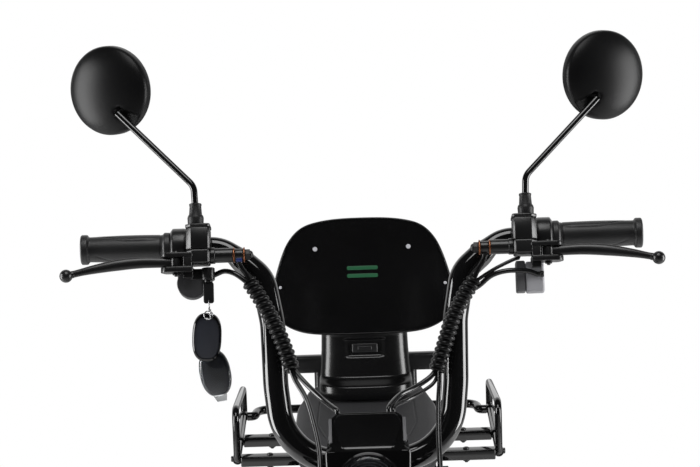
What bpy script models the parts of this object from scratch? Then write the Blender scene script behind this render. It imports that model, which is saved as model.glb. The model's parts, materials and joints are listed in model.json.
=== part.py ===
"""Moped-style electric bicycle, built piece by piece at full size.

The bicycle faces -Y and its left side is +X. The origin lies on the floor, midway between the
two axles. What steers is modelled upright round the steering axis and parented to an empty that
leans back with the fork, so a point there is (side, behind the axis, along the axis).
"""

import math

import bmesh
import bpy
from mathutils import Matrix, Vector

# Wheels and wheelbase
WHEELBASE = 1.240
WHEEL_R = 0.229
TYRE_W = 0.076
TYRE_H = 0.076
RIM_R = WHEEL_R - TYRE_H
RIM_W = 0.055
SPOKES = 5
WHEEL_STEPS = 28

# Steering
RAKE = math.radians(22.0)
FORK_OFFSET = 0.042
FORK_LENGTH = 0.654
LEG_X = 0.078
STANCHION_R = 0.015
LOWER_R = 0.0215
STEERER_R = 0.014
HEAD_TUBE_R = 0.0235
HEAD_TOP = -0.031
HEAD_BOTTOM = -0.189
YOKE_T = 0.022

# Handlebar
BAR_R = 0.015
BAR_END_R = 0.011
BAR_HEIGHT = 0.281
BAR_END_X = 0.3325
BAR_FOOT_Z = 0.0185
BAR_SIDE_X = 0.109
GRIP_START_X = 0.230
GRIP_END_X = 0.337
GRIP_R = 0.0165
CLAMP_W = 0.044

# Frame
DOWN_TUBE_R = 0.0275
SEAT_TUBE_R = 0.016
BB_Y = 0.050
BB_Z = 0.290
BB_HALF = 0.0365
PIVOT_Y = 0.240
PIVOT_Z = 0.285
PIVOT_R = 0.015
RAIL_X = 0.075
RAIL_R = 0.0125
RAIL_Z = 0.567
RAIL_FRONT_Y = 0.175
CROSS_YS = (0.187, 0.430, 0.690)

# Battery and its tray
TRAY_Z = 0.352
TRAY_T = 0.008
BATTERY_Y = (0.2165, 0.3655)
BATTERY_HALF_W = 0.0595
BATTERY_TOP = 0.548

# Carrier, guards and seat
BAR_H = 0.016
CARRIER_BAR_YS = (0.360, 0.505, 0.610)
GUARD_X = 0.200
GUARD_R = 0.0055
GUARD_NEAR_Y = 0.505
GUARD_FAR_Y = 0.765
GUARD_NEAR_H = 0.080
GUARD_FAR_H = 0.042
HOOP_R = 0.007
STRIP_X = 0.096
HOOP_Y = 0.790
HOOP_HALF = 0.178
HOOP_END_Y = 0.753
HOOP_END_RUN = 0.012
PAN_T = 0.0157
CUSHION_TOP = 0.652
SEAT_FRONT_Y = 0.318
SEAT_BACK_Y = 0.705

# Backrest
PANEL_FOOT_Y = 0.600
PANEL_FOOT_Z = 0.757
PANEL_H = 0.181
PANEL_T = 0.008
PANEL_LEAN = math.radians(12.9)
COLUMN_FOOT_HALF = 0.058

# Swingarm, shocks and rear axle
ARM_X = 0.061
ARM_T = 0.018
AXLE_R = 0.007
SHOCK_X = 0.112
SHOCK_TOP = (0.470, 0.567)
SHOCK_FOOT_Y = 0.545
SPRING_R = 0.0185
WIRE_R = 0.0025
SPRING_TURNS = 6
SPRING_STEPS = 9
PERCH_R = 0.0215

# Drive
CHAIN_X = 0.050
CHAIN_W = 0.008
RING_R = 0.073
SPROCKET_R = 0.035
CRANK_X = 0.0655
CRANK_T = 0.014
CRANK_L = 0.150
PEDAL_W = 0.090
LINK_PITCH = 0.0127
LINK_HALF = 0.0043
LINK_WAIST = 0.0034

# Brakes
DISC_R = 0.080
DISC_T = 0.002

# Stand
STAND_Y = 0.235
STAND_Z = 0.185
STAND_FOOT_X = 0.120
STAND_LEG_R = 0.009
STAND_PIN_R = 0.006

# Clearances
SEAT_GAP = 0.0003
RUN_GAP = 0.0005

FRONT_Y = -WHEELBASE / 2
REAR_Y = WHEELBASE / 2
COS, SIN = math.cos(RAKE), math.sin(RAKE)
BASE_Y = FRONT_Y + FORK_OFFSET * COS + FORK_LENGTH * SIN
BASE_Z = WHEEL_R - FORK_OFFSET * SIN + FORK_LENGTH * COS
CARRIER_Z = RAIL_Z + RAIL_R + SEAT_GAP
PAN_Z = CARRIER_Z + BAR_H + SEAT_GAP
CUSHION_Z = PAN_Z + PAN_T + SEAT_GAP
STEERING_PLACE = Matrix.Translation((0, BASE_Y, BASE_Z)) @ Matrix.Rotation(-RAKE, 4, "X")

# Yokes, headlight and front brake
LOWER_TOP = -FORK_LENGTH + 0.324
YOKE_LEG_R = 0.026
LAMP_BACK = -FORK_OFFSET - YOKE_LEG_R
LAMP_TOP = 0.0665
HOSE_CLIP_Z = -0.188
CALIPER_LEAN = math.radians(38)
FRONT_AXLE_R = 0.009
FRONT_DISC_X = 0.0462

# Rear brake, crank and pedals
REAR_DISC_X = 0.0510
CRANK_AXLE_R = 0.009
PEDAL_AXLE_R = 0.006

# Lock, switch box, mirrors and levers
COVER_X = -0.2030
COVER_Z = BAR_HEIGHT - 0.048
COVER_R = 0.0178
COVER_FRONT = -0.0225
KEY_X = -0.1830
KEY_Y = -0.0262
LOCK_Z = COVER_Z + 0.003
KEY_HOLE_Z = LOCK_Z - 0.024
KEY_HOLE_R = 0.0024
KEY_T = 0.003
FOB_RING_R = 0.0065
FOB_WIRE_R = 0.0009
SWITCH_FRONT = -0.0220
GLAND_X = 0.2110
GLAND_Z = BAR_HEIGHT - 0.0505
MIRROR_X = 0.1965
MIRROR_Y = -0.030
MIRROR_TURN = math.radians(28)
MIRROR_TILT = math.radians(-82)
BLOCK_TOP = BAR_HEIGHT + 0.021
BLOCK_FOOT = BAR_HEIGHT - 0.029
MIRROR_HEAD = (0.3010, -0.010, BLOCK_TOP + 0.172)
STEM_TOP = (0.2885, -0.026, BLOCK_TOP + 0.140)
STEM_POCKET = (0.2600, -0.0272, BLOCK_TOP + 0.1107)
LEVER_PIN = (0.2205, -0.036)
LEVER_Z = BAR_HEIGHT - 0.025
LEVER_SLOT = 0.0055
SWITCH_TOP = BAR_HEIGHT - 0.033
LEVER_PIN_R = 0.0025

# Cables
BANJO_X = 0.1457
BANJO_Y = -0.030
BANJO_Z = BAR_HEIGHT - 0.017
BANJO_R = 0.0070
HOSE_R = 0.0027
CABLE_R = 0.0020
WRAP_R = 0.0100
WRAP_Y = -BAR_R - WRAP_R - SEAT_GAP
# Side and height from the bar
WRAP_LEFT = [(0.1331, -0.0545), (0.1219, -0.0695), (0.1131, -0.0845), (0.1048, -0.1000), (0.0975, -0.1215),
             (0.0902, -0.1430), (0.0834, -0.1620)]
WRAP_RIGHT = [(-0.1350, -0.0485), (-0.1246, -0.0650), (-0.1133, -0.0857), (-0.1020, -0.1099),
              (-0.0935, -0.1329), (-0.0865, -0.1545)]

# Seat outline
SEAT_HALF = [(0.086, SEAT_FRONT_Y), (0.110, 0.450), (0.107, 0.600), (0.090, SEAT_BACK_Y)]
SEAT_RADII = [0.060, 0.150, 0.200, 0.035]


def clear_scene():
    """Empties the scene of whatever it starts with."""
    for thing in list(bpy.data.objects):
        bpy.data.objects.remove(thing)


def make_material(name, colour, roughness, metallic=0.0):
    """One Principled material."""
    made = bpy.data.materials.new(name)
    made.use_nodes = True
    shader = made.node_tree.nodes["Principled BSDF"]
    shader.inputs["Base Color"].default_value = (*colour, 1.0)
    shader.inputs["Roughness"].default_value = roughness
    shader.inputs["Metallic"].default_value = metallic
    return made


def as_object(bm, name="piece"):
    """Turns a bmesh into an object with its faces pointing out."""
    bmesh.ops.remove_doubles(bm, verts=bm.verts[:], dist=1e-6)
    bmesh.ops.recalc_face_normals(bm, faces=bm.faces[:])
    mesh = bpy.data.meshes.new(name)
    bm.to_mesh(mesh)
    bm.free()
    made = bpy.data.objects.new(name, mesh)
    bpy.context.collection.objects.link(made)
    return made


def apply_modifiers(piece):
    """Replaces a piece's mesh by what its modifiers make of it."""
    graph = bpy.context.evaluated_depsgraph_get()
    mesh = bpy.data.meshes.new_from_object(piece.evaluated_get(graph))
    piece.modifiers.clear()
    piece.data = mesh
    return piece


def combine(body, tools, operation):
    """Runs one exact Boolean for each tool and removes the tools."""
    for tool in tools:
        step = body.modifiers.new("step", "BOOLEAN")
        step.operation = operation
        step.solver = "EXACT"
        step.object = tool
    apply_modifiers(body)
    for tool in tools:
        bpy.data.objects.remove(tool)
    return body


def weld(body, *tools):
    """Joins overlapping pieces into one closed body."""
    return combine(body, tools, "UNION")


def carve(body, *tools):
    """Cuts the tools out of a body."""
    return combine(body, tools, "DIFFERENCE")


def move(piece, matrix):
    """Moves a piece's mesh."""
    piece.data.transform(matrix)
    if matrix.determinant() < 0:
        piece.data.flip_normals()
    return piece


def finish(piece, name, material, parent=None, sharp=math.radians(35)):
    """Names a finished piece, shades it and hangs it on its body."""
    piece.name = name
    piece.data.name = name
    piece.data.materials.clear()
    piece.data.materials.append(material)
    piece.data.shade_smooth()
    piece.data.set_sharp_from_angle(angle=sharp)
    piece.parent = parent
    return piece


def arc_corner(before, corner, after, radius, step):
    """Points of the arc that rounds one corner of a route."""
    u, v = (before - corner).normalized(), (after - corner).normalized()
    angle = u.angle(v)
    if radius <= 0 or angle > math.pi - 0.02:
        return [corner]
    centre = corner + (u + v).normalized() * (radius / math.sin(angle / 2))
    first = corner + u * (radius / math.tan(angle / 2)) - centre
    turn = math.pi - angle
    axis = u.cross(first).normalized()
    count = max(2, math.ceil(turn / step))
    return [centre + Matrix.Rotation(turn * i / count, 3, axis) @ first for i in range(count + 1)]


def bend(points, radii, step=math.radians(20)):
    """A route of straight runs whose inner corners are rounded by the radii given."""
    points = [Vector(p) for p in points]
    route = [points[0]]
    for i in range(1, len(points) - 1):
        route += arc_corner(points[i - 1], points[i], points[i + 1], radii[i - 1], step)
    return route + [points[-1]]


def smooth(points, steps=3):
    """A smooth curve through a hose's points, straight along its first and last stretch."""
    points = [Vector(p) for p in points]
    route = [points[0]]
    for i in range(1, len(points) - 2):
        a, b, c, d = points[i - 1 : i + 3]
        for k in range(steps):
            t = k / steps
            route.append(
                (
                    b * 2 + (c - a) * t + (a * 2 - b * 5 + c * 4 - d) * t**2 + (b * 3 - a - c * 3 + d) * t**3
                ) / 2
            )
    return route + points[-2:]


def tube(route, radius, resolution=3, scales=None, closed=False):
    """A round tube along a route, from a curve with a bevel and filled ends."""
    curve = bpy.data.curves.new("tube", "CURVE")
    curve.dimensions = "3D"
    curve.bevel_depth = radius
    curve.bevel_resolution = resolution
    curve.use_fill_caps = not closed
    spline = curve.splines.new("POLY")
    spline.points.add(len(route) - 1)
    for i, point in enumerate(route):
        spline.points[i].co = (*point, 1.0)
        spline.points[i].radius = scales[i] if scales else 1.0
    spline.use_cyclic_u = closed
    guide = bpy.data.objects.new("tube", curve)
    bpy.context.collection.objects.link(guide)
    graph = bpy.context.evaluated_depsgraph_get()
    mesh = bpy.data.meshes.new_from_object(guide.evaluated_get(graph))
    bpy.data.objects.remove(guide)
    bm = bmesh.new()
    bm.from_mesh(mesh)
    return as_object(bm)


def rod(start, end, radius, sides=12, end_radius=None):
    """A straight round rod or cone between two points."""
    start, end = Vector(start), Vector(end)
    along = end - start
    place = Matrix.Translation((start + end) / 2) @ along.to_track_quat("Z", "Y").to_matrix().to_4x4()
    bm = bmesh.new()
    bmesh.ops.create_cone(
        bm,
        cap_ends=True,
        segments=sides,
        radius1=radius,
        radius2=radius if end_radius is None else end_radius,
        depth=along.length,
        matrix=place,
    )
    return as_object(bm)


def clear_radius(radius, sides):
    """The corner radius of a faceted hole whose flats still clear a radius."""
    return radius / math.cos(math.pi / sides)


def bore(start, end, radius, sides=14):
    """A cutter for a round hole whose flats still clear the radius."""
    return rod(start, end, clear_radius(radius, sides), sides)


def ball(centre, radius, stretch=(1, 1, 1), rings=8):
    """A ball, stretched along the axes if asked."""
    bm = bmesh.new()
    place = Matrix.Translation(centre) @ Matrix.Diagonal((*stretch, 1.0))
    bmesh.ops.create_uvsphere(bm, u_segments=rings * 2, v_segments=rings, radius=radius, matrix=place)
    return as_object(bm)


def block(low, high, bevel=0.0, segments=2):
    """A box between two corners, with its edges rounded."""
    low, high = Vector(low), Vector(high)
    bm = bmesh.new()
    place = Matrix.Translation((low + high) / 2) @ Matrix.Diagonal((*(high - low), 1.0))
    bmesh.ops.create_cube(bm, size=1.0, matrix=place)
    if bevel:
        bmesh.ops.bevel(bm, geom=bm.edges[:], offset=bevel, segments=segments, profile=0.5, affect="EDGES")
    return as_object(bm)


def plate(outline, axis, low, high, bevel=0.0):
    """An outline in the plane across an axis, given a thickness from low to high."""
    first, second, third = {"X": (1, 2, 0), "Y": (0, 2, 1), "Z": (0, 1, 2)}[axis]
    bm = bmesh.new()
    corners = []
    for u, v in outline:
        place = [0.0, 0.0, 0.0]
        place[first], place[second], place[third] = u, v, low
        corners.append(bm.verts.new(place))
    face = bm.faces.new(corners)
    grown = bmesh.ops.extrude_face_region(bm, geom=[face])
    shift = [0.0, 0.0, 0.0]
    shift[third] = high - low
    moved = [g for g in grown["geom"] if isinstance(g, bmesh.types.BMVert)]
    bmesh.ops.translate(bm, verts=moved, vec=shift)
    if bevel:
        rims = [e for e in bm.edges if len(e.link_faces) == 2 and e.calc_face_angle(0) > 1.2]
        bmesh.ops.bevel(bm, geom=rims, offset=bevel, segments=1, profile=0.5, affect="EDGES")
    return as_object(bm)


def round_corners(corners, radii, step=math.radians(20)):
    """A closed outline whose corners are arcs of the radii given."""
    points = [Vector((u, v, 0)) for u, v in corners]
    outline = []
    for i, corner in enumerate(points):
        arc = arc_corner(points[i - 1], corner, points[(i + 1) % len(points)], radii[i], step)
        outline += [(p.x, p.y) for p in arc]
    return outline


def both_sides(half, radii):
    """A symmetric list of corners and radii from those on the +X side, front to back."""
    corners = half + [(-x, y) for x, y in reversed(half)]
    return corners, radii + radii[::-1]


def strap(start, start_r, end, end_r, sides=14):
    """The outline of two circles and the straight lines that touch both."""
    (ay, az), (by, bz) = start, end
    heading = math.atan2(bz - az, by - ay)
    length = math.hypot(by - ay, bz - az)
    lean = math.acos((start_r - end_r) / length)
    outline = []
    for (cy, cz), r, first, last in (
        (start, start_r, heading + lean, heading + 2 * math.pi - lean),
        (end, end_r, heading - lean, heading + lean),
    ):
        count = max(4, round(sides * (last - first) / (2 * math.pi)))
        for i in range(count + 1):
            a = first + (last - first) * i / count
            outline.append((cy + r * math.cos(a), cz + r * math.sin(a)))
    return outline


def turned(profile, axis="X", centre=(0, 0, 0), steps=48):
    """A closed profile of (along, radius) points spun once round an axis."""
    spin_axis = {"X": Vector((1, 0, 0)), "Z": Vector((0, 0, 1))}[axis]
    out = Vector((0, 0, 1)) if axis == "X" else Vector((1, 0, 0))
    bm = bmesh.new()
    verts = [bm.verts.new(spin_axis * along + out * radius) for along, radius in profile]
    edges = [bm.edges.new((verts[i], verts[(i + 1) % len(verts)])) for i in range(len(verts))]
    bmesh.ops.spin(bm, geom=verts + edges, cent=(0, 0, 0), axis=spin_axis, angle=2 * math.pi, steps=steps)
    bmesh.ops.translate(bm, verts=bm.verts[:], vec=centre)
    bmesh.ops.remove_doubles(bm, verts=bm.verts[:], dist=1e-6)
    bmesh.ops.dissolve_degenerate(bm, edges=bm.edges[:], dist=1e-7)
    return as_object(bm)


def lofted(sections, count=14, power=4.0):
    """Rounded sections (height, half width, front, back) joined one above another."""
    bm = bmesh.new()
    rings = []
    for height, half, front, back in sections:
        ring = []
        for i in range(count):
            a = 2 * math.pi * i / count
            c, s = math.cos(a), math.sin(a)
            x = half * math.copysign(abs(c) ** (2 / power), c)
            y = (front + back) / 2 + (back - front) / 2 * math.copysign(abs(s) ** (2 / power), s)
            ring.append(bm.verts.new((x, y, height)))
        rings.append(ring)
    for lower, upper in zip(rings, rings[1:]):
        for i in range(count):
            j = (i + 1) % count
            bm.faces.new((lower[i], lower[j], upper[j], upper[i]))
    bm.faces.new(rings[0])
    bm.faces.new(rings[-1])
    return as_object(bm)


def make_body_axes():
    """Empties on the joint axes, which carry what moves."""

    def empty(name, place, parent=None, lean=0.0):
        made = bpy.data.objects.new(name, None)
        bpy.context.collection.objects.link(made)
        made.location = place
        made.rotation_euler = (lean, 0, 0)
        made.parent = parent
        return made

    steering = empty("steering_axis", (0, BASE_Y, BASE_Z), lean=-RAKE)
    axes = {
        "steering": steering,
        "front_wheel": empty("front_axle_axis", (0, -FORK_OFFSET, -FORK_LENGTH), steering, RAKE),
        "rear_wheel": empty("rear_axle_axis", (0, REAR_Y, WHEEL_R)),
        "crank": empty("crank_axis", (0, BB_Y, BB_Z)),
        "stand": empty("stand_axis", (0, STAND_Y, STAND_Z)),
    }
    axes["pedal_left"] = empty("pedal_left_axis", (0, -CRANK_L, 0), axes["crank"])
    axes["pedal_right"] = empty("pedal_right_axis", (0, CRANK_L, 0), axes["crank"])
    return axes


def steering_point(behind, along):
    """The world place of a point in the steering's middle plane."""
    return STEERING_PLACE @ Vector((0, behind, along))


def frame_main():
    """Head tube, down tube, bottom bracket, seat tube, swingarm pivot and stand lug."""
    down = tube(
        bend(
            [steering_point(0, (HEAD_TOP + HEAD_BOTTOM) / 2), (0, -0.130, 0.318), (0, BB_Y, BB_Z),
             (0, PIVOT_Y, PIVOT_Z)],
            [0.14, 0.10],
        ),
        DOWN_TUBE_R,
        3,
    )
    cup_r = HEAD_TUBE_R + 0.004
    head = turned(
        [(HEAD_BOTTOM, STEERER_R), (HEAD_BOTTOM, cup_r), (HEAD_BOTTOM + 0.016, cup_r),
         (HEAD_BOTTOM + 0.020, HEAD_TUBE_R), (HEAD_TOP - 0.020, HEAD_TUBE_R), (HEAD_TOP - 0.016, cup_r),
         (HEAD_TOP, cup_r), (HEAD_TOP, STEERER_R)],
        "Z",
        steps=16,
    )
    head = move(head, STEERING_PLACE)
    shell = rod((-BB_HALF, BB_Y, BB_Z), (BB_HALF, BB_Y, BB_Z), 0.0225, 16)
    pivot_half = ARM_X - SEAT_GAP
    pivot = rod((-pivot_half, PIVOT_Y, PIVOT_Z), (pivot_half, PIVOT_Y, PIVOT_Z), PIVOT_R, 14)
    seat_tube = rod((0, 0.160, BB_Z), (0, CROSS_YS[0], RAIL_Z - RAIL_R - SEAT_GAP), SEAT_TUBE_R, 14)
    lug = plate(strap((STAND_Y, PIVOT_Z - 0.010), 0.022, (STAND_Y, STAND_Z), 0.014), "X", -0.020, 0.020)
    frame = weld(down, head, shell, pivot, seat_tube, lug)
    steerer_bore = move(
        bore((0, 0, HEAD_BOTTOM - 0.02), (0, 0, HEAD_TOP + 0.02), STEERER_R + RUN_GAP, 16), STEERING_PLACE
    )
    crank_bore = bore((-0.06, BB_Y, BB_Z), (0.06, BB_Y, BB_Z), CRANK_AXLE_R + RUN_GAP, 12)
    stand_bore = bore((-0.03, STAND_Y, STAND_Z), (0.03, STAND_Y, STAND_Z), STAND_PIN_R + RUN_GAP, 12)
    return carve(frame, steerer_bore, crank_bore, stand_bore)


def subframe():
    """Seat rails, cross tubes and the hanging battery tray."""
    rail_end = HOOP_Y
    parts = [
        rod((s * RAIL_X, RAIL_FRONT_Y, RAIL_Z), (s * RAIL_X, rail_end, RAIL_Z), RAIL_R, 14) for s in (1, -1)
    ]
    for y in CROSS_YS:
        parts.append(rod((-RAIL_X, y, RAIL_Z), (RAIL_X, y, RAIL_Z), RAIL_R, 14))
    hanger_x = BATTERY_HALF_W + 0.009
    tray_y = (BATTERY_Y[0] - 0.0065, BATTERY_Y[1] + 0.0065)
    parts.append(
        block((-hanger_x - 0.005, tray_y[0], TRAY_Z), (hanger_x + 0.005, tray_y[1], TRAY_Z + TRAY_T), 0.002)
    )
    for s in (1, -1):
        for y in (tray_y[0] + 0.012, tray_y[1] - 0.012):
            parts.append(rod((s * RAIL_X, y, RAIL_Z), (s * hanger_x, y, TRAY_Z + TRAY_T / 2), 0.006, 10))
        pin_end = SHOCK_X + 0.013
        parts.append(rod((s * RAIL_X, *SHOCK_TOP), (s * pin_end, *SHOCK_TOP), 0.006, 12))
    return weld(*parts)


def battery_case():
    """The battery, one closed case on its tray."""
    low = (-BATTERY_HALF_W, BATTERY_Y[0], TRAY_Z + TRAY_T + SEAT_GAP)
    high = (BATTERY_HALF_W, BATTERY_Y[1], BATTERY_TOP)
    return block(low, high, 0.010, 2)


def carrier():
    """Three flat cross bars, the two strips that tie them and the hoop round the rear."""
    top = CARRIER_Z + BAR_H
    reach = GUARD_X - GUARD_R - SEAT_GAP
    parts = []
    for y, half in zip(CARRIER_BAR_YS, (STRIP_X + 0.006, reach, reach)):
        parts.append(block((-half, y - 0.010, CARRIER_Z), (half, y + 0.010, top), 0.0015, 1))
    z = CARRIER_Z + HOOP_R
    half = [(reach, HOOP_END_Y, z), (reach - HOOP_END_RUN, HOOP_END_Y, z), (HOOP_HALF, HOOP_Y, z)]
    corners = half + [(-x, y, z) for x, y, z in reversed(half)]
    parts.append(tube(bend(corners, [0.008, 0.020, 0.020, 0.008]), HOOP_R))
    for s in (1, -1):
        near, far = sorted((s * (STRIP_X - 0.006), s * (STRIP_X + 0.006)))
        parts.append(block((near, CARRIER_BAR_YS[0], CARRIER_Z + 0.002), (far, HOOP_Y, top - 0.004)))
    return weld(*parts)


def side_guard(side):
    """A bent rod loop beside the seat."""
    x = side * GUARD_X
    z = CARRIER_Z + BAR_H / 2
    corners = [
        (GUARD_FAR_Y, z), (GUARD_FAR_Y, z + GUARD_FAR_H), (GUARD_NEAR_Y, z + GUARD_NEAR_H),
        (GUARD_NEAR_Y, z),
    ]
    outline = round_corners(corners, [0.008, 0.010, 0.018, 0.008], math.radians(30))
    return tube([Vector((x, y, h)) for y, h in outline], GUARD_R, 2, closed=True)


def seat_base():
    """The moulded pan under the seat."""
    half = [(x - 0.004, y + (0.004 if y < 0.5 else -0.004)) for x, y in SEAT_HALF]
    corners, radii = both_sides(half, SEAT_RADII)
    return plate(round_corners(corners, radii, math.radians(30)), "Z", PAN_Z, PAN_Z + PAN_T, 0.003)


def seat_cushion():
    """The padded seat, open where the backrest's foot goes through."""
    corners, radii = both_sides(SEAT_HALF, SEAT_RADII)
    cushion = plate(round_corners(corners, radii, math.radians(30)), "Z", CUSHION_Z, CUSHION_TOP, 0.007)
    room = 0.002
    half = COLUMN_FOOT_HALF + room
    hole = block((-half, 0.590 - room, CUSHION_Z - 0.01), (half, 0.650 + room, CUSHION_TOP + 0.01))
    return carve(cushion, hole)


def panel_back(z):
    """How far back the panel's rear face lies at a height."""
    lean_back = (z - PANEL_FOOT_Z) * math.tan(PANEL_LEAN)
    return PANEL_FOOT_Y + lean_back + PANEL_T / math.cos(PANEL_LEAN) + SEAT_GAP


def backrest_column():
    """The moulded column that carries the backrest panel."""
    lip = CUSHION_TOP + 0.004
    sections = [
        (CUSHION_Z, COLUMN_FOOT_HALF, 0.590, 0.650),
        (lip, COLUMN_FOOT_HALF, 0.590, 0.650),
        (lip + 0.001, 0.068, 0.572, 0.656),
        (lip + 0.012, 0.0725, 0.566, 0.658),
        (lip + 0.026, 0.0725, 0.572, 0.660),
        (lip + 0.032, 0.0715, 0.596, 0.662),
        (0.725, 0.0680, 0.604, 0.668),
        (0.750, 0.0670, 0.608, 0.672),
        (0.762, 0.0740, panel_back(0.762), 0.676),
        (0.800, 0.0740, panel_back(0.800), 0.680),
        (0.860, 0.0600, panel_back(0.860), 0.684),
        (0.866, 0.0500, panel_back(0.866), 0.680),
    ]
    return lofted(sections)


def backrest_panel():
    """The glossy rounded panel."""
    corners, radii = both_sides([(0.105, 0.0), (0.1385, 0.036), (0.093, PANEL_H)], [0.040, 0.045, 0.058])
    panel = plate(round_corners(corners, radii), "Y", 0.0, PANEL_T, 0.002)
    place = Matrix.Translation((0, PANEL_FOOT_Y, PANEL_FOOT_Z)) @ Matrix.Rotation(-PANEL_LEAN, 4, "X")
    return move(panel, place)


def grab_bar():
    """The thick bar behind the backrest on its two posts."""
    y, z = 0.760, 0.670
    bar = block((-0.145, y - 0.011, z - 0.0145), (0.145, y + 0.011, z + 0.0145), 0.008, 2)
    posts = [rod((s * RAIL_X, y, RAIL_Z + RAIL_R + SEAT_GAP), (s * RAIL_X, y, z), 0.008, 14) for s in (1, -1)]
    return weld(bar, *posts)


def fender(inner_r, half_w, first, last):
    """A curved mudguard round a wheel's axis, from one angle to another, measured from the top."""
    thick = 0.003
    skirt = 0.012
    outer = inner_r + thick
    section = [
        (-half_w, inner_r - skirt), (-half_w, inner_r - 0.004), (-half_w * 0.7, outer), (half_w * 0.7, outer),
        (half_w, inner_r - 0.004), (half_w, inner_r - skirt), (half_w - thick, inner_r - skirt),
        (half_w * 0.7 - 0.002, inner_r), (-half_w * 0.7 + 0.002, inner_r), (-half_w + thick, inner_r - skirt),
    ]
    bm = bmesh.new()
    verts = [bm.verts.new((x, 0, r)) for x, r in section]
    face = bm.faces.new(verts)
    bmesh.ops.rotate(bm, verts=verts, cent=(0, 0, 0), matrix=Matrix.Rotation(-first, 3, "X"))
    steps = max(8, round(abs(last - first) / math.radians(12)))
    bmesh.ops.spin(bm, geom=[face], cent=(0, 0, 0), axis=(1, 0, 0), angle=-(last - first), steps=steps)
    return as_object(bm)


def rear_fender():
    """The rear mudguard with its two hangers."""
    guard = fender(WHEEL_R + 0.017, 0.045, math.radians(-58), math.radians(62))
    guard = move(guard, Matrix.Translation((0, REAR_Y, WHEEL_R)))
    top = WHEEL_R * 2 + 0.018
    y = CROSS_YS[2]
    hangers = [
        rod((s * 0.020, y - 0.02, top - 0.014), (s * 0.020, y, RAIL_Z - RAIL_R - SEAT_GAP), 0.005, 10)
        for s in (1, -1)
    ]
    return weld(guard, *hangers)


def tail_lamp():
    """The lamp between the ends of the rails."""
    y = HOOP_Y
    lens = block((-0.050, y + 0.0003, 0.515), (0.050, y + 0.024, 0.560), 0.006, 2)
    stem_top = RAIL_Z - RAIL_R - SEAT_GAP
    stem = block((-0.012, CROSS_YS[2] - 0.008, stem_top - 0.004), (0.012, y + 0.006, stem_top))
    return weld(lens, stem)


def rear_axle_height(y):
    """The height of the swingarm's middle line."""
    return PIVOT_Z + (WHEEL_R - PIVOT_Z) * (y - PIVOT_Y) / (REAR_Y - PIVOT_Y)


def swingarm():
    """Two arms, their brace, the rear axle and the lower shock pins."""
    parts = []
    for s in (1, -1):
        near, far = sorted((s * ARM_X, s * (ARM_X + ARM_T)))
        parts.append(plate(strap((PIVOT_Y, PIVOT_Z), 0.018, (REAR_Y, WHEEL_R), 0.020), "X", near, far))
    brace_y = PIVOT_Y + 0.065
    brace = (brace_y, rear_axle_height(brace_y))
    parts.append(rod((-ARM_X - 0.004, *brace), (ARM_X + 0.004, *brace), 0.011, 16))
    end = ARM_X + ARM_T + 0.012
    parts.append(rod((-end, REAR_Y, WHEEL_R), (end, REAR_Y, WHEEL_R), AXLE_R, 20))
    for s in (1, -1):
        nut = ARM_X + ARM_T - 0.001
        parts.append(rod((s * nut, REAR_Y, WHEEL_R), (s * (nut + 0.008), REAR_Y, WHEEL_R), 0.012, 6))
        foot = (SHOCK_FOOT_Y, rear_axle_height(SHOCK_FOOT_Y))
        parts.append(rod((s * (ARM_X + 0.004), *foot), (s * (SHOCK_X + 0.013), *foot), 0.006, 12))
    return weld(*parts)


def shock(side):
    """A coil-over shock between its two pins: damper, perches and one helical spring let into them."""
    foot = Vector((0, SHOCK_FOOT_Y, rear_axle_height(SHOCK_FOOT_Y)))
    top = Vector((0, *SHOCK_TOP))
    length = (top - foot).length
    low, high = 0.050, length - 0.078
    profile = [(0.0, 0.0), (0.0, 0.008), (low - 0.004, 0.008), (low - 0.004, PERCH_R), (low + 0.003, PERCH_R),
               (low + 0.003, 0.008), (high - 0.003, 0.008), (high - 0.003, PERCH_R), (high + 0.004, PERCH_R),
               (high + 0.006, 0.016), (length - 0.030, 0.016), (length - 0.024, 0.008), (length, 0.008),
                (length, 0.0)]
    body = turned(profile, "Z", steps=10)
    eyes = [rod((-0.009, 0, z), (0.009, 0, z), 0.0125, 10) for z in (0.0, length)]
    steps = SPRING_TURNS * SPRING_STEPS
    helix = []
    for i in range(steps + 1):
        a = 2 * math.pi * i / SPRING_STEPS
        helix.append(Vector((SPRING_R * math.cos(a), SPRING_R * math.sin(a), low + (high - low) * i / steps)))
    spring = tube(helix, WIRE_R, 1)
    body = weld(body, *eyes, spring)
    bores = [bore((-0.03, 0, z), (0.03, 0, z), 0.006 + SEAT_GAP, 12) for z in (0.0, length)]
    body = carve(body, *bores)
    lean = math.atan2(foot.y - top.y, top.z - foot.z)
    return move(body, Matrix.Translation((side * SHOCK_X, foot.y, foot.z)) @ Matrix.Rotation(lean, 4, "X"))


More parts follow.
